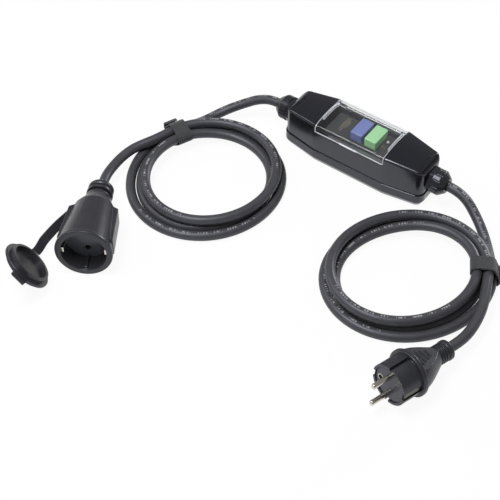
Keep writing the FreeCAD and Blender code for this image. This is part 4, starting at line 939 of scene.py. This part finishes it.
# %% Metal finishes
def metal(name, dark, pale, rough, lines=2600.0):
    """A metal whose lines run across the way that noise is stretched."""
    made, tree, shader = new_material(name)
    shader.inputs["Metallic"].default_value = 1.0
    at = add(tree, "ShaderNodeTexCoord").outputs["Object"]
    stretch = add(tree, "ShaderNodeMapping")
    stretch.inputs["Scale"].default_value = (0.15, 1.0, 1.0)
    join(tree, (at, stretch.inputs["Vector"]))
    fine = noise(tree, stretch.outputs[0], lines)
    drift = mixed(tree, noise(tree, at, 200.0), (*dark, 1), (*pale, 1))
    join(tree, (drift, shader.inputs["Base Color"]))
    roughened(tree, shader, fine, rough)
    bumped(tree, shader, fine, 0.000004)
    return made


nickel = metal("nickel_on_brass", (0.60, 0.56, 0.47), (0.76, 0.73, 0.66), (0.16, 0.30))
steel = metal("steel", (0.48, 0.48, 0.49), (0.60, 0.60, 0.61), (0.24, 0.40))
paint(nickel, "plug_pins", "coupling_contacts", "coupling_earth_clips")
paint(steel, "board_screws", "housing_screws", "lid_hinge_pins")

# %% [markdown]
# The plug's earth sleeve is bright, and the strips in its side grooves are rougher and painted
# dark, a painted shade of the grooves. One node holds all of them, so the distance from the
# sleeve tells them apart. A strip has few points and the sleeve many, so the middle point by
# count is on the sleeve.

# %% Earth strips, rougher and with painted shade
SLEEVE_REACH = 0.0075

nickel_shaded_strips = metal("nickel_with_painted_shade", (0.60, 0.56, 0.47), (0.76, 0.73, 0.66), (0.22, 0.36))
tree = nickel_shaded_strips.node_tree
shader = tree.nodes["Principled BSDF"]
sleeve_at = np.median(read(nodes["plug_earth_contacts"].data.vertices, "co", 3), axis=0)
far_off = add(tree, "ShaderNodeVectorMath", operation="DISTANCE")
far_off.inputs[1].default_value = sleeve_at.tolist()
join(tree, (add(tree, "ShaderNodeTexCoord").outputs["Object"], far_off.inputs[0]))
bright = shader.inputs["Base Color"].links[0].from_socket
strips = maths(tree, "GREATER_THAN", far_off.outputs["Value"], SLEEVE_REACH)
# Painted shade: the strips take a dark colour for the shade in their grooves.
join(tree, (mixed(tree, strips, bright, (0.105, 0.100, 0.088, 1)), shader.inputs["Base Color"]))
paint(nickel_shaded_strips, "plug_earth_contacts")
print("earth sleeve at", sleeve_at.round(4).tolist())

# %% [markdown]
# ## Inside the box
#
# The lid and shells hide these, but each is a real piece. Boards are green lacquer over
# copper tracks, which a stepped noise draws. The sum transformer is a core wound with
# enamelled wire, one unbroken line that goes round the ring's section again and again.

# %% Boards
TRACK_CELL = (0.0024, 0.0006, 0.01)
TRACK_ABOVE = 0.53

lacquer, tree, shader = new_material("board_lacquer")
at = add(tree, "ShaderNodeTexCoord").outputs["Object"]
grid = add(tree, "ShaderNodeVectorMath", operation="SNAP")
grid.inputs[1].default_value = TRACK_CELL
join(tree, (at, grid.inputs[0]))
track = maths(tree, "GREATER_THAN", noise(tree, grid.outputs[0], 320.0, 0.0), TRACK_ABOVE)
green = mixed(tree, noise(tree, at, 120.0), (0.010, 0.085, 0.030, 1), (0.018, 0.125, 0.045, 1))
join(tree, (mixed(tree, track, green, (0.045, 0.200, 0.085, 1)), shader.inputs["Base Color"]))
surface(tree, shader, at, (0.18, 0.30), 150.0, 0.00001, 900.0)
paint(lacquer, "main_board", "key_board")

# %% Components
paint(finish("relay_plastic", (0.020, 0.045, 0.150), (0.030, 0.065, 0.200), (0.20, 0.34)),
      "contact_relay")
paint(finish("capacitor_yellow", (0.52, 0.36, 0.055), (0.62, 0.45, 0.085), (0.22, 0.36)),
      "film_capacitor")
paint(finish("sleeve_black", (0.020, 0.020, 0.022), (0.036, 0.036, 0.038), (0.20, 0.32)),
      "round_capacitor")
paint(finish("varistor_lacquer", (0.020, 0.060, 0.190), (0.034, 0.090, 0.260), (0.26, 0.40),
             grain=900.0, depth=0.00005), "varistor")
paint(finish("switch_plastic", (0.026, 0.026, 0.027), (0.044, 0.044, 0.045), (0.36, 0.50)),
      "key_switches", "terminal_blocks")
paint(finish("ferrite", (0.040, 0.041, 0.043), (0.075, 0.076, 0.080), (0.55, 0.75),
             grain=1200.0, depth=0.00005), "transformer_core")

# %% Sum transformer's winding
RING_AT = np.array([-0.012, -0.002])
RING_MIDDLE_R = 0.0085
RING_HALF_R = 0.0030
RING_LOW = 0.0096
RING_HIGH = 0.0186
WIRE_D = 0.00092
WINDS = 34
POINTS_PER_WIND = 20


def squared(wave):
    """A wave whose tops are flattened, so that a circle made with it is nearly a square."""
    return np.sign(wave) * np.abs(wave) ** 0.45


enamel = metal("enamelled_copper", (0.50, 0.19, 0.065), (0.66, 0.28, 0.11), (0.22, 0.34), 900.0)
turn = np.linspace(0, 2 * math.pi * WINDS, WINDS * POINTS_PER_WIND, endpoint=False)
r = RING_MIDDLE_R + RING_HALF_R * squared(np.cos(turn))
half_height = (RING_HIGH - RING_LOW) / 2 - WIRE_D * 0.6
z = (RING_LOW + RING_HIGH) / 2 + half_height * squared(np.sin(turn))
round_ring = turn / WINDS
path = np.stack([RING_AT[0] + r * np.cos(round_ring), RING_AT[1] + r * np.sin(round_ring), z], -1)
winding, wound = tube("winding_wire", path, WIRE_D / 2, enamel, around=8)
stand_in(winding, "transformer_winding")
print("winding wire in metres:", round(wound, 2))

# %% [markdown]
# Under each key a compression spring stands round the switch. It has to close up as the key
# goes down, and a stiff copy of it would stick through the key instead. So each is one long
# wire along a helix, flattened towards the board by as much as the key travels.

# %% Key springs
SPRING_R = 0.0052
SPRING_WIRE = 0.0008
SPRING_TURNS = 4
POINTS_PER_TURN = 28
SPRING_ROOM = 0.00005


def key_spring(key):
    """Points = centre + r (cos a, sin a) + a rise in line with a, from the board to the key."""
    low, high = (np.array(corner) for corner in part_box(key + "_spring"))
    a = np.linspace(0, 2 * math.pi * SPRING_TURNS, SPRING_TURNS * POINTS_PER_TURN + 1)
    middle = (low + high) / 2
    first, last = low[2] + SPRING_WIRE / 2, high[2] - SPRING_WIRE / 2 - SPRING_ROOM
    path = np.stack([middle[0] + SPRING_R * np.cos(a), middle[1] + SPRING_R * np.sin(a),
                     first + (last - first) * a / a[-1]], -1)
    wire, length = tube(key + "_spring_wire", path, SPRING_WIRE / 2, steel, around=10)
    stand_in(wire, key + "_spring")
    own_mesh(wire)


for key in ("test", "reset"):
    key_spring(key)

# %% [markdown]
# The three cores run from the end of the jacket down to the terminal block: brown, blue, and
# green with yellow. One mesh holds all three, and its uv tells them apart: a whole number is
# added to the turns around for each core.

# %% Cores
BROWN = (0.105, 0.042, 0.018, 1)
BLUE = (0.020, 0.075, 0.260, 1)
GREEN = (0.060, 0.260, 0.045, 1)
YELLOW = (0.62, 0.50, 0.03, 1)
GREEN_SHARE = 0.62

insulation, tree, shader = new_material("core_insulation")
place = add(tree, "ShaderNodeTexCoord")
u, v, _ = parts_of(tree, place.outputs["UV"])
second = maths(tree, "GREATER_THAN", v, 1.0)
third = maths(tree, "GREATER_THAN", v, 2.0)
yellow = maths(tree, "GREATER_THAN", maths(tree, "FRACT", v), GREEN_SHARE)
colour = mixed(tree, second, BROWN, BLUE)
striped = mixed(tree, yellow, GREEN, YELLOW)
join(tree, (mixed(tree, third, colour, striped), shader.inputs["Base Color"]))
surface(tree, shader, place.outputs["Object"], (0.30, 0.44), 150.0, 0.00002, 1300.0)
print(insulation.name, "in brown, blue, and green with yellow")

# %% The cores' lines
CORE_D = 0.0028
GLAND_Z = 0.0265
CORE_OFF_AXIS = 0.00175
CORE_PITCH = 0.0065
HOLE_X, HOLE_Z = 0.044, 0.0141


def core_route(k, way, far, near):
    """Six control points, from the core's place round the jacket's axis to its own hole."""
    angle = math.radians(90 + 120 * (k - 1))
    start_y = -CORE_OFF_AXIS * math.cos(angle)
    start_z = GLAND_Z + CORE_OFF_AXIS * math.sin(angle)
    y, hole_x = CORE_PITCH * (k - 1), way * HOLE_X
    return np.array([
        (far, start_y, start_z), (far - way * 0.0025, start_y, start_z),
        (far * 0.72 + hole_x * 0.28, start_y * 0.72 + y * 0.28, start_z * 0.74 + HOLE_Z * 0.26),
        (far * 0.30 + hole_x * 0.70, start_y * 0.25 + y * 0.75, start_z * 0.26 + HOLE_Z * 0.74),
        (hole_x + way * 0.0018, y, HOLE_Z), (near, y, HOLE_Z)])


def three_cores(side, way):
    """The cores behind one gland, as one piece."""
    (low_x, _, _), (high_x, _, _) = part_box("cores_" + side)
    far, near = (low_x, high_x) if way < 0 else (high_x, low_x)
    made = []
    for k in range(3):
        line = smooth_line("core_route", core_route(k, way, far, near))
        piece, length = tube("core", line, CORE_D / 2, insulation, around=14)
        uv = piece.data.uv_layers["UVMap"].data
        values = read(uv, "uv", 2)
        values[:, 1] += k
        uv.foreach_set("uv", values.astype(np.float32).ravel())
        made.append(piece)
        print(side, "core", k + 1, "is", round(length * 1000, 1), "mm long")
    stand_in(joined("cores_" + side + "_wires", made), "cores_" + side)


for side, way in (("left", -1), ("right", 1)):
    three_cores(side, way)
